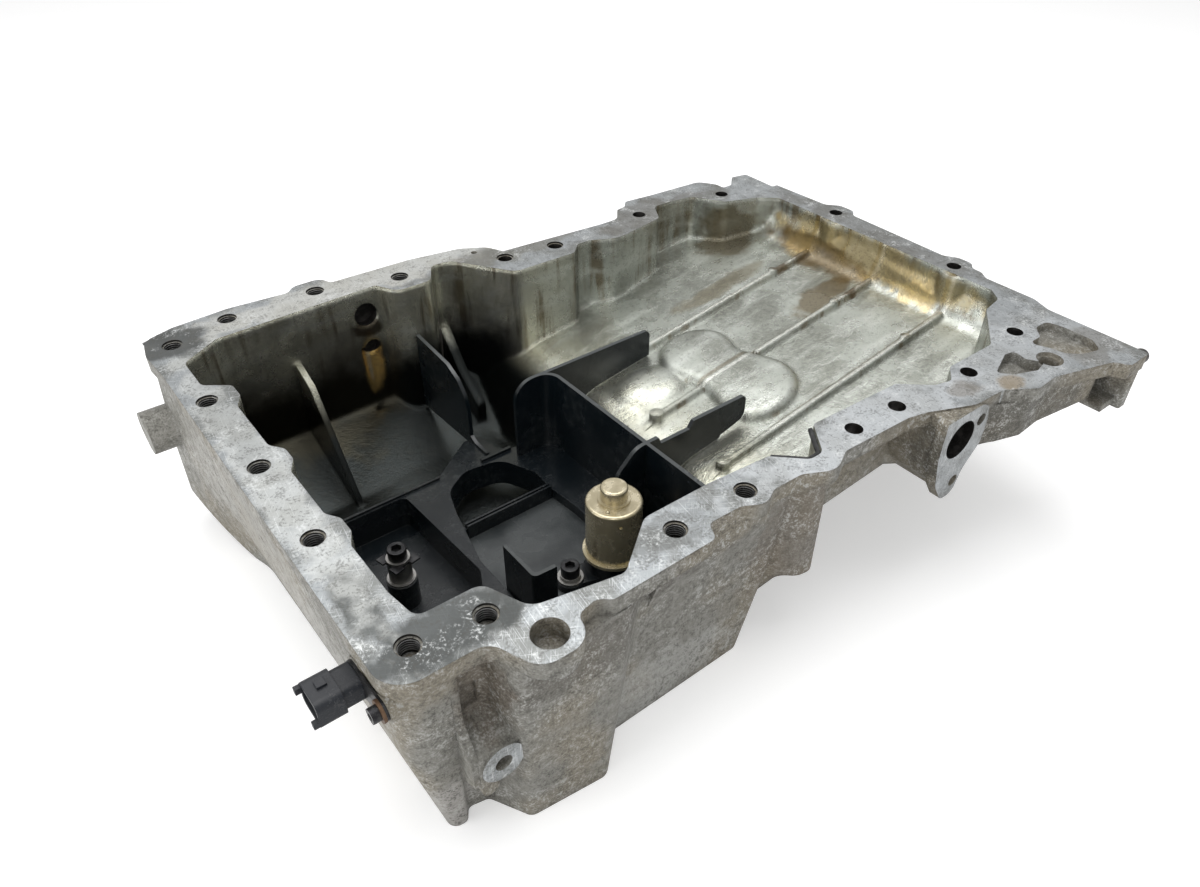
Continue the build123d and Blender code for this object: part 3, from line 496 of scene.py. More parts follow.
@dataclass(frozen=True)
class InnerCast:
    """Oil-stained skin inside: silver at the shallow end, with painted shade in the sump and
    painted highlights.
    """

    silver: Colour = (0.42, 0.44, 0.40)
    # Pale colour of the painted highlight on the rib crests.
    shade: Colour = (0.195, 0.195, 0.163)
    rib_highlight: Colour = (0.82, 0.82, 0.76)
    olive: Colour = (0.70, 0.69, 0.56)
    # Near-black colour of the painted shade low in the sump.
    sump_shade: Colour = (0.0035, 0.007, 0.0095)
    brown: Colour = (0.12, 0.08, 0.03)
    washed: Colour = (0.69, 0.715, 0.67)
    soot: Colour = (0.03, 0.026, 0.02)
    ribs: tuple[float, ...] = (49.0, 105.5, 160.5)
    rib_shadow: float = 3.4
    relief: float = 0.00035
    blots: tuple[Blot, ...] = (
        Blot((0.07, 0.06, 0.035), (60, 262, -55), (70, 40, 50), 0.45, 1.8, 0.03),
        Blot((0.40, 0.30, 0.115), (407, 110, -12), (12, 90, 14), 0.7, 1.6, 0.05),
        # The next two blots are painted golden highlights on the far end wall.
        Blot((0.72, 0.55, 0.24), (404, 170, -22), (12, 16, 10), 0.6, 2.0, 0.08),
        Blot((0.68, 0.52, 0.23), (403, 72, -22), (10, 18, 8), 0.5, 2.0, 0.08),
        Blot((0.135, 0.085, 0.025), (400, 150, -22), (16, 60, 9), 0.75, 1.6, 0.06),
        Blot((0.12, 0.088, 0.035), (375, 215, -22), (30, 26, 22), 0.65, 1.6, 0.06),
        Blot((0.19, 0.15, 0.075), (330, 178, -36), (60, 9, 9), 0.5, 1.6, 0.06),
        Blot((0.13, 0.088, 0.03), (368, 120, -31), (34, 12, 8), 0.7, 1.6, 0.06),
        Blot((0.10, 0.06, 0.02), (380, 106, -29), (8, 4, 8), 0.8, 1.6, 0.1),
        Blot((0.10, 0.06, 0.02), (372, 161, -29), (9, 4, 8), 0.8, 1.6, 0.1),
        # Gold streak in the back wall groove, then a painted highlight down its centre.
        Blot((0.90, 0.62, 0.22), (108, 256, -52), (8, 16, 24), 0.95, 0.8, 0.1),
        Blot((0.95, 0.86, 0.62), (106, 256, -50), (2.2, 16, 17), 0.8, 0.6, 0.1),
        Blot((0.05, 0.03, 0.012), (108, 262, -26), (11, 12, 9), 0.85, 1.2, 0.1),
    )

    def build(self) -> bpy.types.Material:
        """Writes the material.

        Returns:
            The material.
        """
        s = Surface("inner_cast")
        g = s.graph
        x, y, z = g.parts(s.place)
        cloud = g.noise(s.place, 38.0, 5.0, 0.6)
        sway = g.math("MULTIPLY", g.math("SUBTRACT", cloud, 0.5), 60.0)
        height = g.math("ADD", z, sway)
        sump = g.step(g.math("ADD", x, g.math("MULTIPLY", sway, 0.6)), 255.0, 190.0)
        colour = g.mix(g.step(cloud, 0.36, 0.64, (0.6, 0.0)), self.silver, self.shade)
        colour = g.mix(g.math("MULTIPLY", sump, 0.7), colour, self.olive)
        facing = g.parts(g.add("ShaderNodeNewGeometry").outputs["Normal"])[2]
        upright = g.step(g.math("ABSOLUTE", facing), 0.75, 0.35)
        drips = g.noise(g.vector("MULTIPLY", s.place, (1.0, 1.0, 0.12)), 7.0, 4.0)
        runs = g.math("MULTIPLY", g.step(drips, 0.5, 0.68, (0.0, 0.7)), upright)
        colour = g.mix(runs, colour, self.brown)
        wash = g.noise(g.vector("MULTIPLY", s.place, (0.25, 1.0, 1.0)), 9.0, 4.0)
        colour = g.mix(g.step(wash, 0.42, 0.75, (0.0, 0.5)), colour, self.washed)
        floor = g.step(x, 235.0, 260.0)
        for rib in self.ribs:
            # Painted shadow: a line in the brown colour beside each rib on the shallow floor,
            # carried by the stain mask.
            beside = g.math("ABSOLUTE", g.math("SUBTRACT", y, rib + self.rib_shadow))
            line = g.step(beside, 0.6, 2.2, (1, 0))
            stain = g.math("MULTIPLY", g.math("MULTIPLY", line, floor), 0.55)
            colour = g.mix(stain, colour, self.brown)
            # Painted highlight along each rib crest on the shallow floor; the worn mask carries
            # it.
            crest = g.step(g.math("ABSOLUTE", g.math("SUBTRACT", y, rib)), 1.5, 0.5)
            worn = g.math("MULTIPLY", g.math("MULTIPLY", crest, floor), 0.6)
            colour = g.mix(worn, colour, self.rib_highlight)
        # Painted shade: the sump goes almost black below about 26 to 62 mm under the gasket face.
        low = g.math("MULTIPLY", g.step(height, -26.0, -62.0), g.step(x, 205.0, 186.0))
        colour = g.mix(g.math("MULTIPLY", low, 0.97), colour, self.sump_shade)
        colour = s.blots(colour, self.blots)
        grain = g.use(GRAIN, Place=s.place, Coarse=0.35, Fine=1.1)
        colour = g.mix(g.math("MULTIPLY", grain.outputs["Dark"], 0.3), colour, self.soot)
        rough = g.step(cloud, 0.3, 0.7, (0.17, 0.34))
        rough = g.math("SUBTRACT", rough, g.math("MULTIPLY", low, 0.1))
        return s.finish(colour, rough, 0.85, grain.outputs["Height"], self.relief, 0.0045)


@dataclass(frozen=True)
class MachinedFace:
    """Milled gasket face with scratches, old sealant, stains and painted sheen."""

    metal: Colour = (0.35, 0.37, 0.38)
    scratch: Colour = (0.74, 0.76, 0.77)
    chalk: Colour = (0.68, 0.695, 0.69)
    dull: Colour = (0.195, 0.20, 0.19)
    grime: Colour = (0.09, 0.088, 0.08)
    milling: tuple[Point, ...] = ((0.3, 16.0, 0.5), (0.22, 9.0, -0.9), (0.35, 26.0, 1.7))
    relief: float = 0.00006
    smears: tuple[Blot, ...] = (
        Blot((0.085, 0.09, 0.088), (16, -2, 0), (40, 17, 9), 0.92, 1.2, 0.09),
        Blot((0.10, 0.105, 0.10), (-6, 30, 0), (9, 26, 9), 0.85, 1.4, 0.08),
        # Painted sheen: a pale band along the left flange.
        Blot((0.64, 0.65, 0.63), (-4, 130, 0), (13, 120, 9), 0.5, 2.0, 0.08),
        Blot((0.66, 0.65, 0.60), (110, 268, 0), (130, 18, 9), 0.5, 2.0, 0.08),
        Blot((0.13, 0.135, 0.13), (-2, 170, 0), (9, 60, 9), 0.25, 2.2, 0.06),
        Blot((0.15, 0.155, 0.15), (112, -14, 0), (26, 12, 9), 0.55, 2.0, 0.1),
        Blot((0.075, 0.078, 0.075), (-3, 268, 0), (22, 19, 9), 0.9, 1.0, 0.09),
        Blot((0.16, 0.15, 0.12), (200, 250, 0), (70, 14, 9), 0.5, 2.2, 0.05),
        Blot((0.14, 0.13, 0.11), (330, 236, 0), (60, 24, 9), 0.6, 2.0, 0.05),
        Blot((0.15, 0.145, 0.13), (420, 110, 0), (14, 110, 9), 0.55, 2.2, 0.06),
        # The next two are painted sheen: bluish-white bands on the front right flange.
        Blot((0.60, 0.62, 0.635), (240, -20, 0), (90, 26, 9), 0.5, 2.2, 0.1),
        Blot((0.55, 0.57, 0.585), (365, -22, 0), (60, 30, 9), 0.45, 2.4, 0.08),
        Blot((0.20, 0.19, 0.17), (398, -44, 0), (30, 16, 9), 0.6, 2.0, 0.08),
        Blot((0.15, 0.115, 0.075), (306, -26, 0), (12, 7, 9), 0.45, 2.0, 0.1),
        Blot((0.30, 0.24, 0.16), (329, -38, 0), (9, 7, 9), 0.7, 1.0, 0.12),
    )

    def build(self) -> bpy.types.Material:
        """Writes the material.

        Returns:
            The material.
        """
        s = Surface("machined_face")
        g = s.graph
        cloud = g.noise(s.place, 26.0, 4.0)
        colour = g.mix(g.step(cloud, 0.42, 0.6, (0.0, 0.85)), self.metal, self.dull)
        for width, length, turn in self.milling:
            lines = g.use(SCRATCH, Place=s.place, Width=width, Length=length,
                          Turn=(0.0, 0.0, turn)).outputs[0]
            colour = g.mix(g.math("MULTIPLY", lines, 0.7), colour, self.scratch)
        # Mask of all these blots, painted sheen included; it raises the roughness.
        smear: Wire = 0.0
        for blot in self.smears:
            amount = g.math("MULTIPLY", s.spot(blot.centre, blot.size, blot.ragged, blot.grain),
                            blot.strength)
            colour = g.mix(amount, colour, blot.colour)
            smear = g.math("MAXIMUM", smear, amount)
        dust = g.use(GRAIN, Place=s.place, Coarse=0.16, Fine=0.8)
        colour = g.mix(g.math("MULTIPLY", dust.outputs["Dark"], 0.5), colour, self.grime)
        bloom = g.step(g.noise(s.place, 18.0, 5.0, 0.65), 0.5, 0.6, (0.0, 0.7))
        colour = g.mix(g.math("MULTIPLY", dust.outputs["Light"], bloom), colour, self.chalk)
        rough = g.math("ADD", g.step(cloud, 0.3, 0.7, (0.3, 0.42)),
                       g.math("MULTIPLY", smear, 0.25))
        return s.finish(colour, rough, 0.72, dust.outputs["Height"], self.relief, 0.0005)


@dataclass(frozen=True)
class PlainMetal:
    """Small metal parts: steel, plated or blackened, with a little wear and oil."""

    name: str
    colour: Colour
    worn: Colour
    roughness: float
    metallic: float = 0.9
    speck: float = 0.35
    edge: float = 0.0003

    def build(self) -> bpy.types.Material:
        """Writes the material.

        Returns:
            The material.
        """
        s = Surface(self.name)
        g = s.graph
        grain = g.use(GRAIN, Place=s.place, Coarse=0.5, Fine=2.2)
        cloud = g.noise(s.place, 5.0, 3.0)
        colour = g.mix(g.step(cloud, 0.45, 0.7, (0.0, 0.5)), self.colour, self.worn)
        colour = g.mix(g.math("MULTIPLY", grain.outputs["Light"], self.speck), colour, self.worn)
        rough = g.step(cloud, 0.3, 0.7, (self.roughness - 0.07, self.roughness + 0.1))
        return s.finish(colour, rough, self.metallic, grain.outputs["Height"], 0.00008, self.edge)


@dataclass(frozen=True)
class OilyPlastic:
    """Black moulded plastic wetted by old oil, with painted highlights on its upper level faces
    and silt on its low panel.
    """

    name: str = "black_moulding"
    colour: Colour = (0.004, 0.0065, 0.0085)
    dust: Colour = (0.068, 0.075, 0.076)
    roughness: tuple[float, float] = (0.13, 0.34)
    speck: float = 0.4
    coat: float = 0.2
    # Strength of the painted highlight on upward faces above the rim height.
    rim: float = 0.75
    highlight_rim_height: tuple[float, float] = (-78.0, -74.0)
    panel_height: float = -87.5

    def build(self) -> bpy.types.Material:
        """Writes the material.

        Returns:
            The material.
        """
        s = Surface(self.name)
        g = s.graph
        grain = g.use(GRAIN, Place=s.place, Coarse=0.22, Fine=1.3)
        cloud = g.noise(s.place, 24.0, 4.0)
        amount = g.math("MULTIPLY", grain.outputs["Light"], g.step(cloud, 0.4, 0.65))
        colour = g.mix(g.math("MULTIPLY", amount, self.speck), self.colour, self.dust)
        level = g.step(g.parts(g.add("ShaderNodeNewGeometry").outputs["Normal"])[2], 0.7, 0.95)
        height = g.parts(s.place)[2]
        # Painted highlight: upward faces above the rim height get the dust colour.
        rim = g.math("MULTIPLY", level, g.step(height, *self.highlight_rim_height))
        colour = g.mix(g.math("MULTIPLY", rim, self.rim), colour, self.dust)
        away = g.math("ABSOLUTE", g.math("SUBTRACT", height, self.panel_height))
        panel = g.math("MULTIPLY", level, g.step(away, 1.9, 1.2))
        silt = g.math("MULTIPLY", panel, g.step(cloud, 0.3, 0.6, (0.35, 0.75)))
        colour = g.mix(silt, colour, self.dust)
        rough = g.step(cloud, 0.3, 0.7, self.roughness)
        return s.finish(colour, rough, 0.0, grain.outputs["Height"], 0.00022, 0.0005, self.coat)


@dataclass(frozen=True)
class SoftSeal:
    """Matt rubber or cured sealant."""

    name: str
    colour: Colour
    pale: Colour

    def build(self) -> bpy.types.Material:
        """Writes the material.

        Returns:
            The material.
        """
        s = Surface(self.name)
        g = s.graph
        cloud = g.noise(s.place, 3.0, 4.0)
        colour = g.mix(g.step(cloud, 0.4, 0.7), self.colour, self.pale)
        return s.finish(colour, g.step(cloud, 0.3, 0.7, (0.5, 0.75)), 0.0, cloud, 0.0002)


SENSOR_GOLD = PlainMetal("champagne_can", (0.50, 0.44, 0.30), (0.66, 0.60, 0.46), 0.2, 0.72, 0.1)
BLACK_STEEL = PlainMetal("black_steel", (0.022, 0.022, 0.024), (0.09, 0.09, 0.09), 0.36, 0.75)
GREY_STEEL = PlainMetal("grey_steel", (0.28, 0.275, 0.265), (0.42, 0.41, 0.39), 0.38)
PIN_STEEL = PlainMetal("pin_steel", (0.07, 0.066, 0.062), (0.16, 0.15, 0.14), 0.42, 0.8)
BROWN_STEEL = PlainMetal("brown_washer", (0.10, 0.055, 0.03), (0.20, 0.13, 0.08), 0.5, 0.6)
CONTACT = PlainMetal("contact_metal", (0.55, 0.52, 0.45), (0.65, 0.62, 0.56), 0.25)
BORE_METAL = PlainMetal("bore_metal", (0.014, 0.013, 0.012), (0.07, 0.065, 0.06), 0.45, 0.6)
THREAD_METAL = PlainMetal("thread_metal", (0.10, 0.10, 0.098), (0.24, 0.24, 0.235), 0.34, 0.85)
TRAY_PLASTIC = OilyPlastic()
# The last value is the strength of the painted highlight on upward faces.
SOCKET_PLASTIC = OilyPlastic("slate_socket", (0.010, 0.0125, 0.017), (0.085, 0.085, 0.088),
                             (0.36, 0.54), 0.45, 0.0, 0.25)
SEAL_RUBBER = SoftSeal("seal_rubber", (0.012, 0.012, 0.013), (0.03, 0.03, 0.03))
GREY_SEALANT = SoftSeal("grey_sealant", (0.10, 0.105, 0.105), (0.17, 0.17, 0.165))
DARK_SEALANT = SoftSeal("dark_sealant", (0.018, 0.018, 0.019), (0.06, 0.06, 0.06))


def paint(node: str, material: bpy.types.Material) -> None:
    """Gives every material slot of a CAD node one material.

    Args:
        node: name of the node.
        material: its material.
    """
    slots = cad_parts[node].data.materials
    for index in range(len(slots)):
        slots[index] = material
    if not slots:
        slots.append(material)
    LOG.info("dressed %s", node)


def merged_copy(node: str) -> bmesh.types.BMesh:
    """A closed mesh of a CAD node, whose loose triangles are joined.

    Args:
        node: name of the node.
    Returns:
        The mesh.
    """
    mesh = bmesh.new()
    mesh.from_mesh(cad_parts[node].data)
    bmesh.ops.remove_doubles(mesh, verts=mesh.verts, dist=COPY_WELD)
    return mesh


def to_object(mesh: bmesh.types.BMesh, name: str, materials: Sequence[bpy.types.Material],
              crease: float = 32.0) -> bpy.types.Object:
    """Turns a mesh into a placed object with smooth faces between its sharp edges.

    Args:
        mesh: the finished mesh, which is freed.
        name: name of the piece.
        materials: material slots in order.
        crease: angle in degrees above which an edge stays sharp.
    Returns:
        The object.
    """
    data = bpy.data.meshes.new(name)
    mesh.to_mesh(data)
    mesh.free()
    if "custom_normal" in data.attributes:
        data.attributes.remove(data.attributes["custom_normal"])
    for material in materials:
        data.materials.append(material)
    data.shade_smooth()
    data.set_sharp_from_angle(angle=radians(crease))
    item = bpy.data.objects.new(name, data)
    bpy.context.scene.collection.objects.link(item)
    return item


def shallow_floor(x: float) -> float:
    """Height of the sloped shallow floor at a place along the pan, in millimetres."""
    return FLOOR_HEIGHT - FLOOR_SLOPE * (FLOOR_END - x)


def combined(first: bmesh.types.BMesh, others: Sequence[bmesh.types.BMesh], operation: str
             ) -> bmesh.types.BMesh:
    """Adds closed meshes to one, or cuts them out of it.

    Args:
        first: the mesh that is changed, which is freed.
        others: the other meshes, which are freed.
        operation: UNION or DIFFERENCE.
    Returns:
        The new mesh.
    """
    group = bpy.data.collections.new("others")
    bpy.context.scene.collection.children.link(group)
    items = []
    for number, mesh in enumerate((first, *others)):
        data = bpy.data.meshes.new(f"operand_{number}")
        mesh.to_mesh(data)
        mesh.free()
        items.append(bpy.data.objects.new(data.name, data))
        home = group if number else bpy.context.scene.collection
        home.objects.link(items[-1])
    step = items[0].modifiers.new("combine", "BOOLEAN")
    step.operation = operation
    step.operand_type = "COLLECTION"
    step.collection = group
    step.solver = "EXACT"
    graph = bpy.context.evaluated_depsgraph_get()
    result = bmesh.new()
    result.from_mesh(bpy.data.meshes.new_from_object(items[0].evaluated_get(graph)))
    bmesh.ops.remove_doubles(result, verts=result.verts, dist=JOIN_WELD)
    for item in items:
        bpy.data.objects.remove(item)
    bpy.data.collections.remove(group)
    return result


@dataclass
class PanCasting:
    """Cast pan: the solid's faces sorted into cast, stained, milled and drilled."""

    cavity: tuple[tuple[float, float], ...] = (
        (9, 10.5), (37.5, 9.8), (46.5, -12), (86.5, -20.5), (113, -0.3), (150, -0.6),
        (185.5, -3.5), (199.5, -17), (208, -17), (221, 0.6), (281, -2), (296, -15.2),
        (306.5, -18), (317, -9.5), (354, -10), (386, 14.2), (402.5, 17), (409.3, 26),
        (410, 202), (398, 211.5), (374.5, 220.5), (361.5, 242), (343, 245), (328.5, 245),
        (318.5, 228.5), (284, 222), (274.5, 222), (258.5, 230), (249, 230), (240, 221.3),
        (195.5, 222.5), (170.5, 260), (157.5, 262.5), (147.5, 245), (125, 245.5),
        (117.5, 268), (19, 262), (-6, 243), (-6, 216.5), (4, 200), (4, 130), (4, 70),
        (4, 28))
    holes: tuple[tuple[float, float], ...] = BLIND_HOLES + THROUGH_HOLES
    flat: float = 0.95
    upright: float = 0.6
    slack: float = 0.3
    bore_reach: float = 6.2
    bore_depth: float = 13.0
    back_holes: tuple[Point, ...] = ((108.0, -17.0, 7.5), (109.0, -41.0, 5.5),
                                     (327.0, -14.0, 5.5))
    back_wall: float = 250.5
    port: Point = (289.5, -17.5, 12.0)
    port_face: float = -40.0
    port_left: float = 270.0
    port_slack: float = 0.4
    ring_boss: Point = (20.0, -62.0, 9.5)
    ring_front: float = -20.0
    slot_low: Point = (95, 244, -75)
    slot_high: Point = (121, 268, 0)
    bulge_centre: tuple[float, float] = (230.5, 131.5)
    bulge_reach: tuple[float, float] = (23.5, 21.0)
    bulge_lean: float = -3.0
    bulge_rise: float = 5.4
    bulge_sink: float = 0.3
    bulge_foot: float = 3.0
    bulge_rings: int = 9
    bulge_sides: int = 48
    probe: float = 0.0015
    blocks: tuple[str, ...] = (
        "front_port", "flange_left", "flange_right", "flange_ear", "flange_front",
        "flange_back", "corner_pocket", "sump_floor", "sump_left", "sump_front", "sump_slope",
        "sump_back", "sump_brink", "ear_skirt", "shallow_front", "shallow_back", "end_wall",
        "shallow_floor")

    def inside(self, x: float, y: float) -> bool:
        """Tells whether a place in plan lies in the cavity.

        Args:
            x, y: the place on the drawing.
        Returns:
            True inside the cavity.
        """
        odd = False
        for k, (x0, y0) in enumerate(self.cavity):
            x1, y1 = self.cavity[k - 1]
            if (y0 > y) != (y1 > y) and x < (x1 - x0) * (y - y0) / (y1 - y0) + x0:
                odd = not odd
        return odd

    def zone(self, place: Vector, normal: Vector, tree: BVHTree) -> Zone:
        """Kind of surface of one face.

        Args:
            place: middle of the face in the frame.
            normal: its normal.
            tree: the casting, to look for what stands above.
        Returns:
            The zone.
        """
        at = drawing(place)
        if normal.z > self.flat and at.z > -self.slack:
            return Zone.MACHINED
        on_port = abs(at.y - self.port_face) < self.port_slack and at.x > self.port_left
        if on_port and abs(normal.y) > self.flat:
            return Zone.MACHINED
        x, z, r = self.ring_boss
        if normal.y < -0.9 and hypot(at.x - x, at.z - z) < r and at.y < self.ring_front:
            return Zone.MACHINED
        for x, y in self.holes:
            inward = (x - at.x) * normal.x + (y - at.y) * normal.y
            near = hypot(at.x - x, at.y - y) < self.bore_reach and at.z > -self.bore_depth
            if near and abs(normal.z) < self.upright and inward > 0.5 * self.bore_reach:
                return Zone.BORE
        x, z, r = self.port
        if hypot(at.x - x, at.z - z) < r and self.port_face + 1 < at.y < 0:
            return Zone.BORE
        if normal.y < self.upright:
            for x, z, r in self.back_holes:
                if hypot(at.x - x, at.z - z) < r + self.slack and at.y > self.back_wall:
                    return Zone.BORE
            if all(low < value < high for low, value, high
                   in zip(self.slot_low, at, self.slot_high)):
                return Zone.INNER
        outward = place + normal * self.probe
        plan = drawing(outward)
        if self.inside(plan.x, plan.y):
            hit = tree.ray_cast(outward, Vector((0, 0, 1)))
            if hit[0] is None:
                return Zone.INNER
        return Zone.OUTER

    def bulge(self) -> bmesh.types.BMesh:
        """Low second lobe of the raised bulge on the shallow floor, as a closed lens.

        Returns:
            The mesh.
        """
        mesh = bmesh.new()
        middle, across = self.bulge_centre
        around = self.bulge_sides
        levels = []
        for k in range(1, self.bulge_rings + 1):
            reach = k / self.bulge_rings
            level = []
            for n in range(around):
                turn = 2 * pi * n / around
                x = middle + reach * (self.bulge_reach[0] * cos(turn)
                                      + self.bulge_lean * sin(turn))
                y = across + reach * self.bulge_reach[1] * sin(turn)
                top = self.bulge_rise * (1 - reach ** 3.2) - self.bulge_sink
                level.append(mesh.verts.new(metres(x, y, shallow_floor(x) + top)))
            levels.append(level)
        floor = shallow_floor(middle)
        peak = mesh.verts.new(metres(middle, across, floor + self.bulge_rise - self.bulge_sink))
        base = mesh.verts.new(metres(middle, across, floor - self.bulge_foot))
        for n in range(around):
            after = (n + 1) % around
            mesh.faces.new((peak, levels[0][n], levels[0][after]))
            mesh.faces.new((base, levels[-1][after], levels[-1][n]))
            for inner, outer in zip(levels, levels[1:]):
                mesh.faces.new((inner[n], outer[n], outer[after], inner[after]))
        return mesh

    def whole(self) -> bmesh.types.BMesh:
        """Joins the casting's blocks and its second bulge without inner faces.

        Returns:
            The closed mesh.
        """
        blocks = [merged_copy(node) for node in self.blocks]
        mesh = combined(blocks[0], [*blocks[1:], self.bulge()], "UNION")
        LOG.info("casting joined, open edges: %d", sum(not e.is_manifold for e in mesh.edges))
        return mesh

    def build(self) -> bpy.types.Object:
        """Builds the dressed casting, which stands for its blocks.

        Returns:
            The casting.
        """
        mesh = self.whole()
        tree = BVHTree.FromBMesh(mesh)
        count = [0] * len(Zone)
        for face in mesh.faces:
            zone = self.zone(face.calc_center_median(), face.normal, tree)
            face.material_index = zone.value
            count[zone.value] += 1
        LOG.info("casting faces by zone %s", count)
        materials = [OuterCast().build(), InnerCast().build(), MachinedFace().build(),
                     BORE_METAL.build()]
        item = to_object(mesh, "cast_pan", materials)
        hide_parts(*self.blocks)
        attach(item, BODY)
        return item


@dataclass
class BaffleTray:
    """Moulded tray with the short end of its guard wall cut back to the real length."""

    cut_from: Point = (95.0, 39.0, -81.4)
    cut_to: Point = (106.0, 44.0, -40.0)

    def build(self) -> bpy.types.Object:
        """Builds the dressed tray, which stands for its solid.

        Returns:
            The tray.
        """
        cutter = bmesh.new()
        bmesh.ops.create_cube(cutter, size=1.0)
        low, high = metres(*self.cut_from), metres(*self.cut_to)
        for vert in cutter.verts:
            for axis in range(3):
                vert.co[axis] = high[axis] if vert.co[axis] > 0 else low[axis]
        mesh = combined(merged_copy("baffle_tray"), [cutter], "DIFFERENCE")
        item = to_object(mesh, "moulded_tray", [TRAY_PLASTIC.build()])
        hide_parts("baffle_tray")
        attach(item, BODY)
        return item


@dataclass
class HoleThreads:
    """Thread crests inside the bolt holes of the sump side, repeated by Geometry Nodes."""

    holes: tuple[tuple[float, float], ...] = BLIND_HOLES
    radius: float = 0.00438
    crest: float = 0.00034
    pitch: float = 0.00125
    turns: int = 5
    ring_steps: int = 24
    crest_steps: int = 6
    first: float = -2.2

    def group(self) -> bpy.types.NodeTree:
        """Writes the tree that stacks rings on the vertices of the given mesh.

        Returns:
            The tree.
        """
        tree = bpy.data.node_groups.new("thread_stacks", "GeometryNodeTree")
        side = tree.interface
        side.new_socket("Geometry", in_out="INPUT", socket_type="NodeSocketGeometry")
        for name, kind in (("Radius", "Float"), ("Crest", "Float"), ("Pitch", "Float"),
                           ("Turns", "Int"), ("Finish", "Material")):
            side.new_socket(name, in_out="INPUT", socket_type=f"NodeSocket{kind}")
        side.new_socket("Geometry", in_out="OUTPUT", socket_type="NodeSocketGeometry")
        graph = Graph(tree)
        given = graph.add("NodeGroupInput").outputs
        loops = []
        for name, steps in (("Radius", self.ring_steps), ("Crest", self.crest_steps)):
            circle = graph.add("GeometryNodeCurvePrimitiveCircle")
            circle.inputs["Resolution"].default_value = steps
            graph.feed(circle.inputs["Radius"], given[name])
            loops.append(circle.outputs["Curve"])
        ring = graph.add("GeometryNodeCurveToMesh")
        graph.feed(ring.inputs["Curve"], loops[0])
        graph.feed(ring.inputs["Profile Curve"], loops[1])
        drop = graph.add("ShaderNodeCombineXYZ")
        graph.feed(drop.inputs["Z"], graph.math("MULTIPLY", given["Pitch"], -1.0))
        line = graph.add("GeometryNodeMeshLine", mode="OFFSET")
        graph.feed(line.inputs["Count"], given["Turns"])
        graph.feed(line.inputs["Offset"], drop.outputs[0])
        stack = graph.add("GeometryNodeInstanceOnPoints")
        graph.feed(stack.inputs["Points"], line.outputs["Mesh"])
        graph.feed(stack.inputs["Instance"], ring.outputs["Mesh"])
        placed = graph.add("GeometryNodeInstanceOnPoints")
        graph.feed(placed.inputs["Points"], given["Geometry"])
        graph.feed(placed.inputs["Instance"], stack.outputs["Instances"])
        real = graph.add("GeometryNodeRealizeInstances")
        graph.feed(real.inputs[0], placed.outputs["Instances"])
        dressed = graph.add("GeometryNodeSetMaterial")
        graph.feed(dressed.inputs["Geometry"], real.outputs[0])
        graph.feed(dressed.inputs["Material"], given["Finish"])
        graph.feed(graph.add("NodeGroupOutput").inputs[0], dressed.outputs[0])
        return tree

    def build(self) -> bpy.types.Object:
        """Builds the thread crests as one piece.

        Returns:
            The piece.
        """
        data = bpy.data.meshes.new("hole_places")
        data.from_pydata([metres(x, y, self.first) for x, y in self.holes], [], [])
        source = bpy.data.objects.new("hole_places", data)
        bpy.context.scene.collection.objects.link(source)
        step = source.modifiers.new("threads", "NODES")
        step.node_group = self.group()
        values = {"Radius": self.radius, "Crest": self.crest, "Pitch": self.pitch,
                  "Turns": self.turns, "Finish": THREAD_METAL.build()}
        for socket in step.node_group.interface.items_tree:
            if socket.in_out == "INPUT" and socket.name in values:
                step[socket.identifier] = values[socket.name]
        source.update_tag()
        graph = bpy.context.evaluated_depsgraph_get()
        mesh = bpy.data.meshes.new_from_object(source.evaluated_get(graph))
        mesh.shade_smooth()
        item = bpy.data.objects.new("hole_threads", mesh)
        bpy.context.scene.collection.objects.link(item)
        bpy.data.objects.remove(source)
        LOG.info("thread crests: %d faces", len(mesh.polygons))
        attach(item, BODY)
        return item


@dataclass
class SmallParts:
    """Nodes that keep their solids and get their finishes."""

    def dress(self) -> None:
        """Paints every kept node."""
        black = BLACK_STEEL.build()
        grey = GREY_STEEL.build()
        paint("sensor_base", TRAY_PLASTIC.build())
        paint("level_sensor", SENSOR_GOLD.build())
        for node in ("left_screw", "right_screw", "left_clip", "connector_bracket",
                     "connector_screw"):
            paint(node, black)
        for node in ("left_washer", "left_sleeve", "right_lock_washer", "right_flat_washer",
                     "drain_plug", "drain_washer"):
            paint(node, grey)
        paint("connector_body", SOCKET_PLASTIC.build())
        paint("connector_pins", CONTACT.build())
        paint("connector_seal", SEAL_RUBBER.build())
        paint("connector_washer", BROWN_STEEL.build())
        paint("dowel_pin", PIN_STEEL.build())
        paint("sealant_curl", DARK_SEALANT.build())
        paint("sealant_strand", GREY_SEALANT.build())


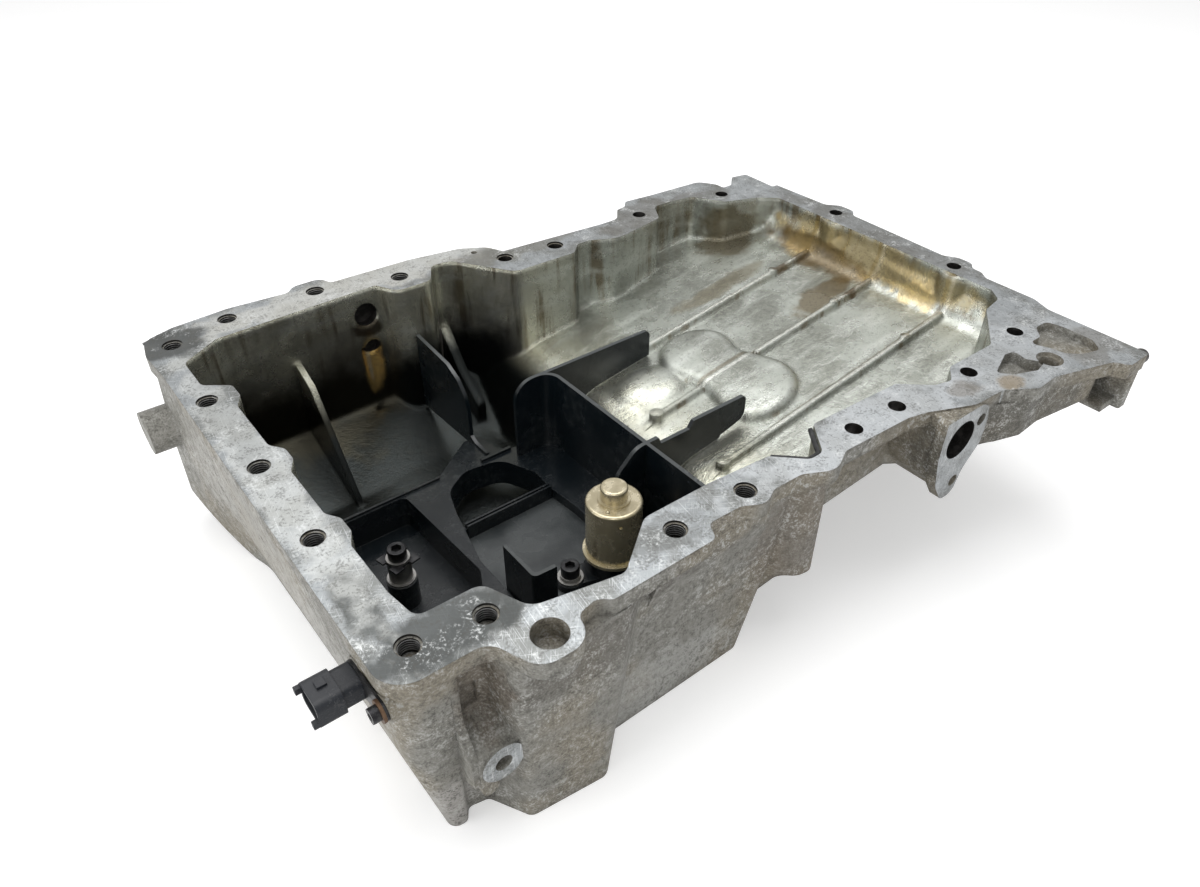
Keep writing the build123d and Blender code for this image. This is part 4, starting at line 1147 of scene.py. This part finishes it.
@dataclass
class Studio:
    """Camera of the photograph, soft lamps, pale floor and white surroundings."""

    lens: float = 27.0
    sensor: float = 36.0
    place: Point = (-0.2739, -0.3235, 0.3750)
    forward: Point = (0.4830, 0.6227, -0.6157)
    right: Point = (0.7902, -0.6129, 0.0)
    floor_colour: Colour = (0.86, 0.86, 0.86)
    floor_reach: float = 6.0
    surround: float = 0.55
    gloss: float = 0.35
    lift: float = 0.3

    def camera(self) -> None:
        """Sets the scene's camera at the photograph's viewpoint."""
        data = bpy.data.cameras.new("view")
        data.lens = self.lens
        data.sensor_width = self.sensor
        data.clip_start = 0.01
        ahead = Vector(self.forward).normalized()
        side = Vector(self.right).normalized()
        up = side.cross(ahead)
        turn = Matrix((side, up, -ahead)).transposed().to_4x4()
        item = bpy.data.objects.new("view", data)
        item.matrix_world = Matrix.Translation(self.place) @ turn
        bpy.context.scene.collection.objects.link(item)
        bpy.context.scene.camera = item

    def lamp(self, name: str, place: Point, target: Point, size: float, power: float,
             colour: Colour = (1.0, 1.0, 1.0)) -> None:
        """Adds one square soft lamp.

        Args:
            name: name of the lamp.
            place: its place.
            target: the point it faces.
            size: side in metres.
            power: watts.
            colour: light colour.
        """
        data = bpy.data.lights.new(name, "AREA")
        data.size = size
        data.energy = power
        data.color = colour
        item = bpy.data.objects.new(name, data)
        item.location = place
        aim = Vector(target) - Vector(place)
        item.rotation_euler = aim.to_track_quat("-Z", "Y").to_euler()
        bpy.context.scene.collection.objects.link(item)

    def floor(self) -> None:
        """Adds the pale floor, white to the camera away from the shadow."""
        mesh = bmesh.new()
        bmesh.ops.create_grid(mesh, x_segments=1, y_segments=1, size=self.floor_reach)
        data = bpy.data.meshes.new("floor")
        mesh.to_mesh(data)
        mesh.free()
        material = bpy.data.materials.new("floor")
        material.use_nodes = True
        shader = material.node_tree.nodes["Principled BSDF"]
        shader.inputs["Base Color"].default_value = (*self.floor_colour, 1.0)
        shader.inputs["Roughness"].default_value = 0.9
        shader.inputs["Emission Color"].default_value = (1, 1, 1, 1)
        graph = Graph(material.node_tree)
        seen = graph.add("ShaderNodeLightPath").outputs["Is Camera Ray"]
        graph.feed(shader.inputs["Emission Strength"], graph.math("MULTIPLY", seen, self.lift))
        data.materials.append(material)
        item = bpy.data.objects.new("floor", data)
        bpy.context.scene.collection.objects.link(item)

    def world(self) -> None:
        """White to the camera and to reflections, softer as a light."""
        world = bpy.data.worlds.new("surround")
        bpy.context.scene.world = world
        world.use_nodes = True
        graph = Graph(world.node_tree)
        path = graph.add("ShaderNodeLightPath")
        gloss = graph.math("MULTIPLY", path.outputs["Is Glossy Ray"], self.gloss)
        seen = graph.math("MAXIMUM", path.outputs["Is Camera Ray"], gloss)
        strength = graph.math("ADD", self.surround,
                              graph.math("MULTIPLY", seen, 1 - self.surround))
        back = world.node_tree.nodes["Background"]
        back.inputs["Color"].default_value = (1, 1, 1, 1)
        graph.feed(back.inputs["Strength"], strength)

    def build(self) -> None:
        """Builds the whole studio."""
        self.camera()
        self.floor()
        self.world()
        self.lamp("top_light", (0.1, 0.25, 1.5), (0.0, 0.05, 0.05), 1.3, 16.0)
        self.lamp("front_light", (-0.9, -1.3, 0.9), (0.0, 0.0, 0.05), 1.0, 7.0)
        self.lamp("left_light", (-1.5, 0.2, 0.55), (-0.2, 0.0, 0.05), 0.9, 9.0)
        scene = bpy.context.scene
        scene.view_settings.view_transform = "Standard"


def main() -> None:
    """Builds the studio and every piece, and reports them."""
    Studio().build()
    for assembly in (PanCasting(), BaffleTray(), HoleThreads()):
        LOG.info("built %s", assembly.build().name)
    SmallParts().dress()


if __name__ == "__main__":
    main()
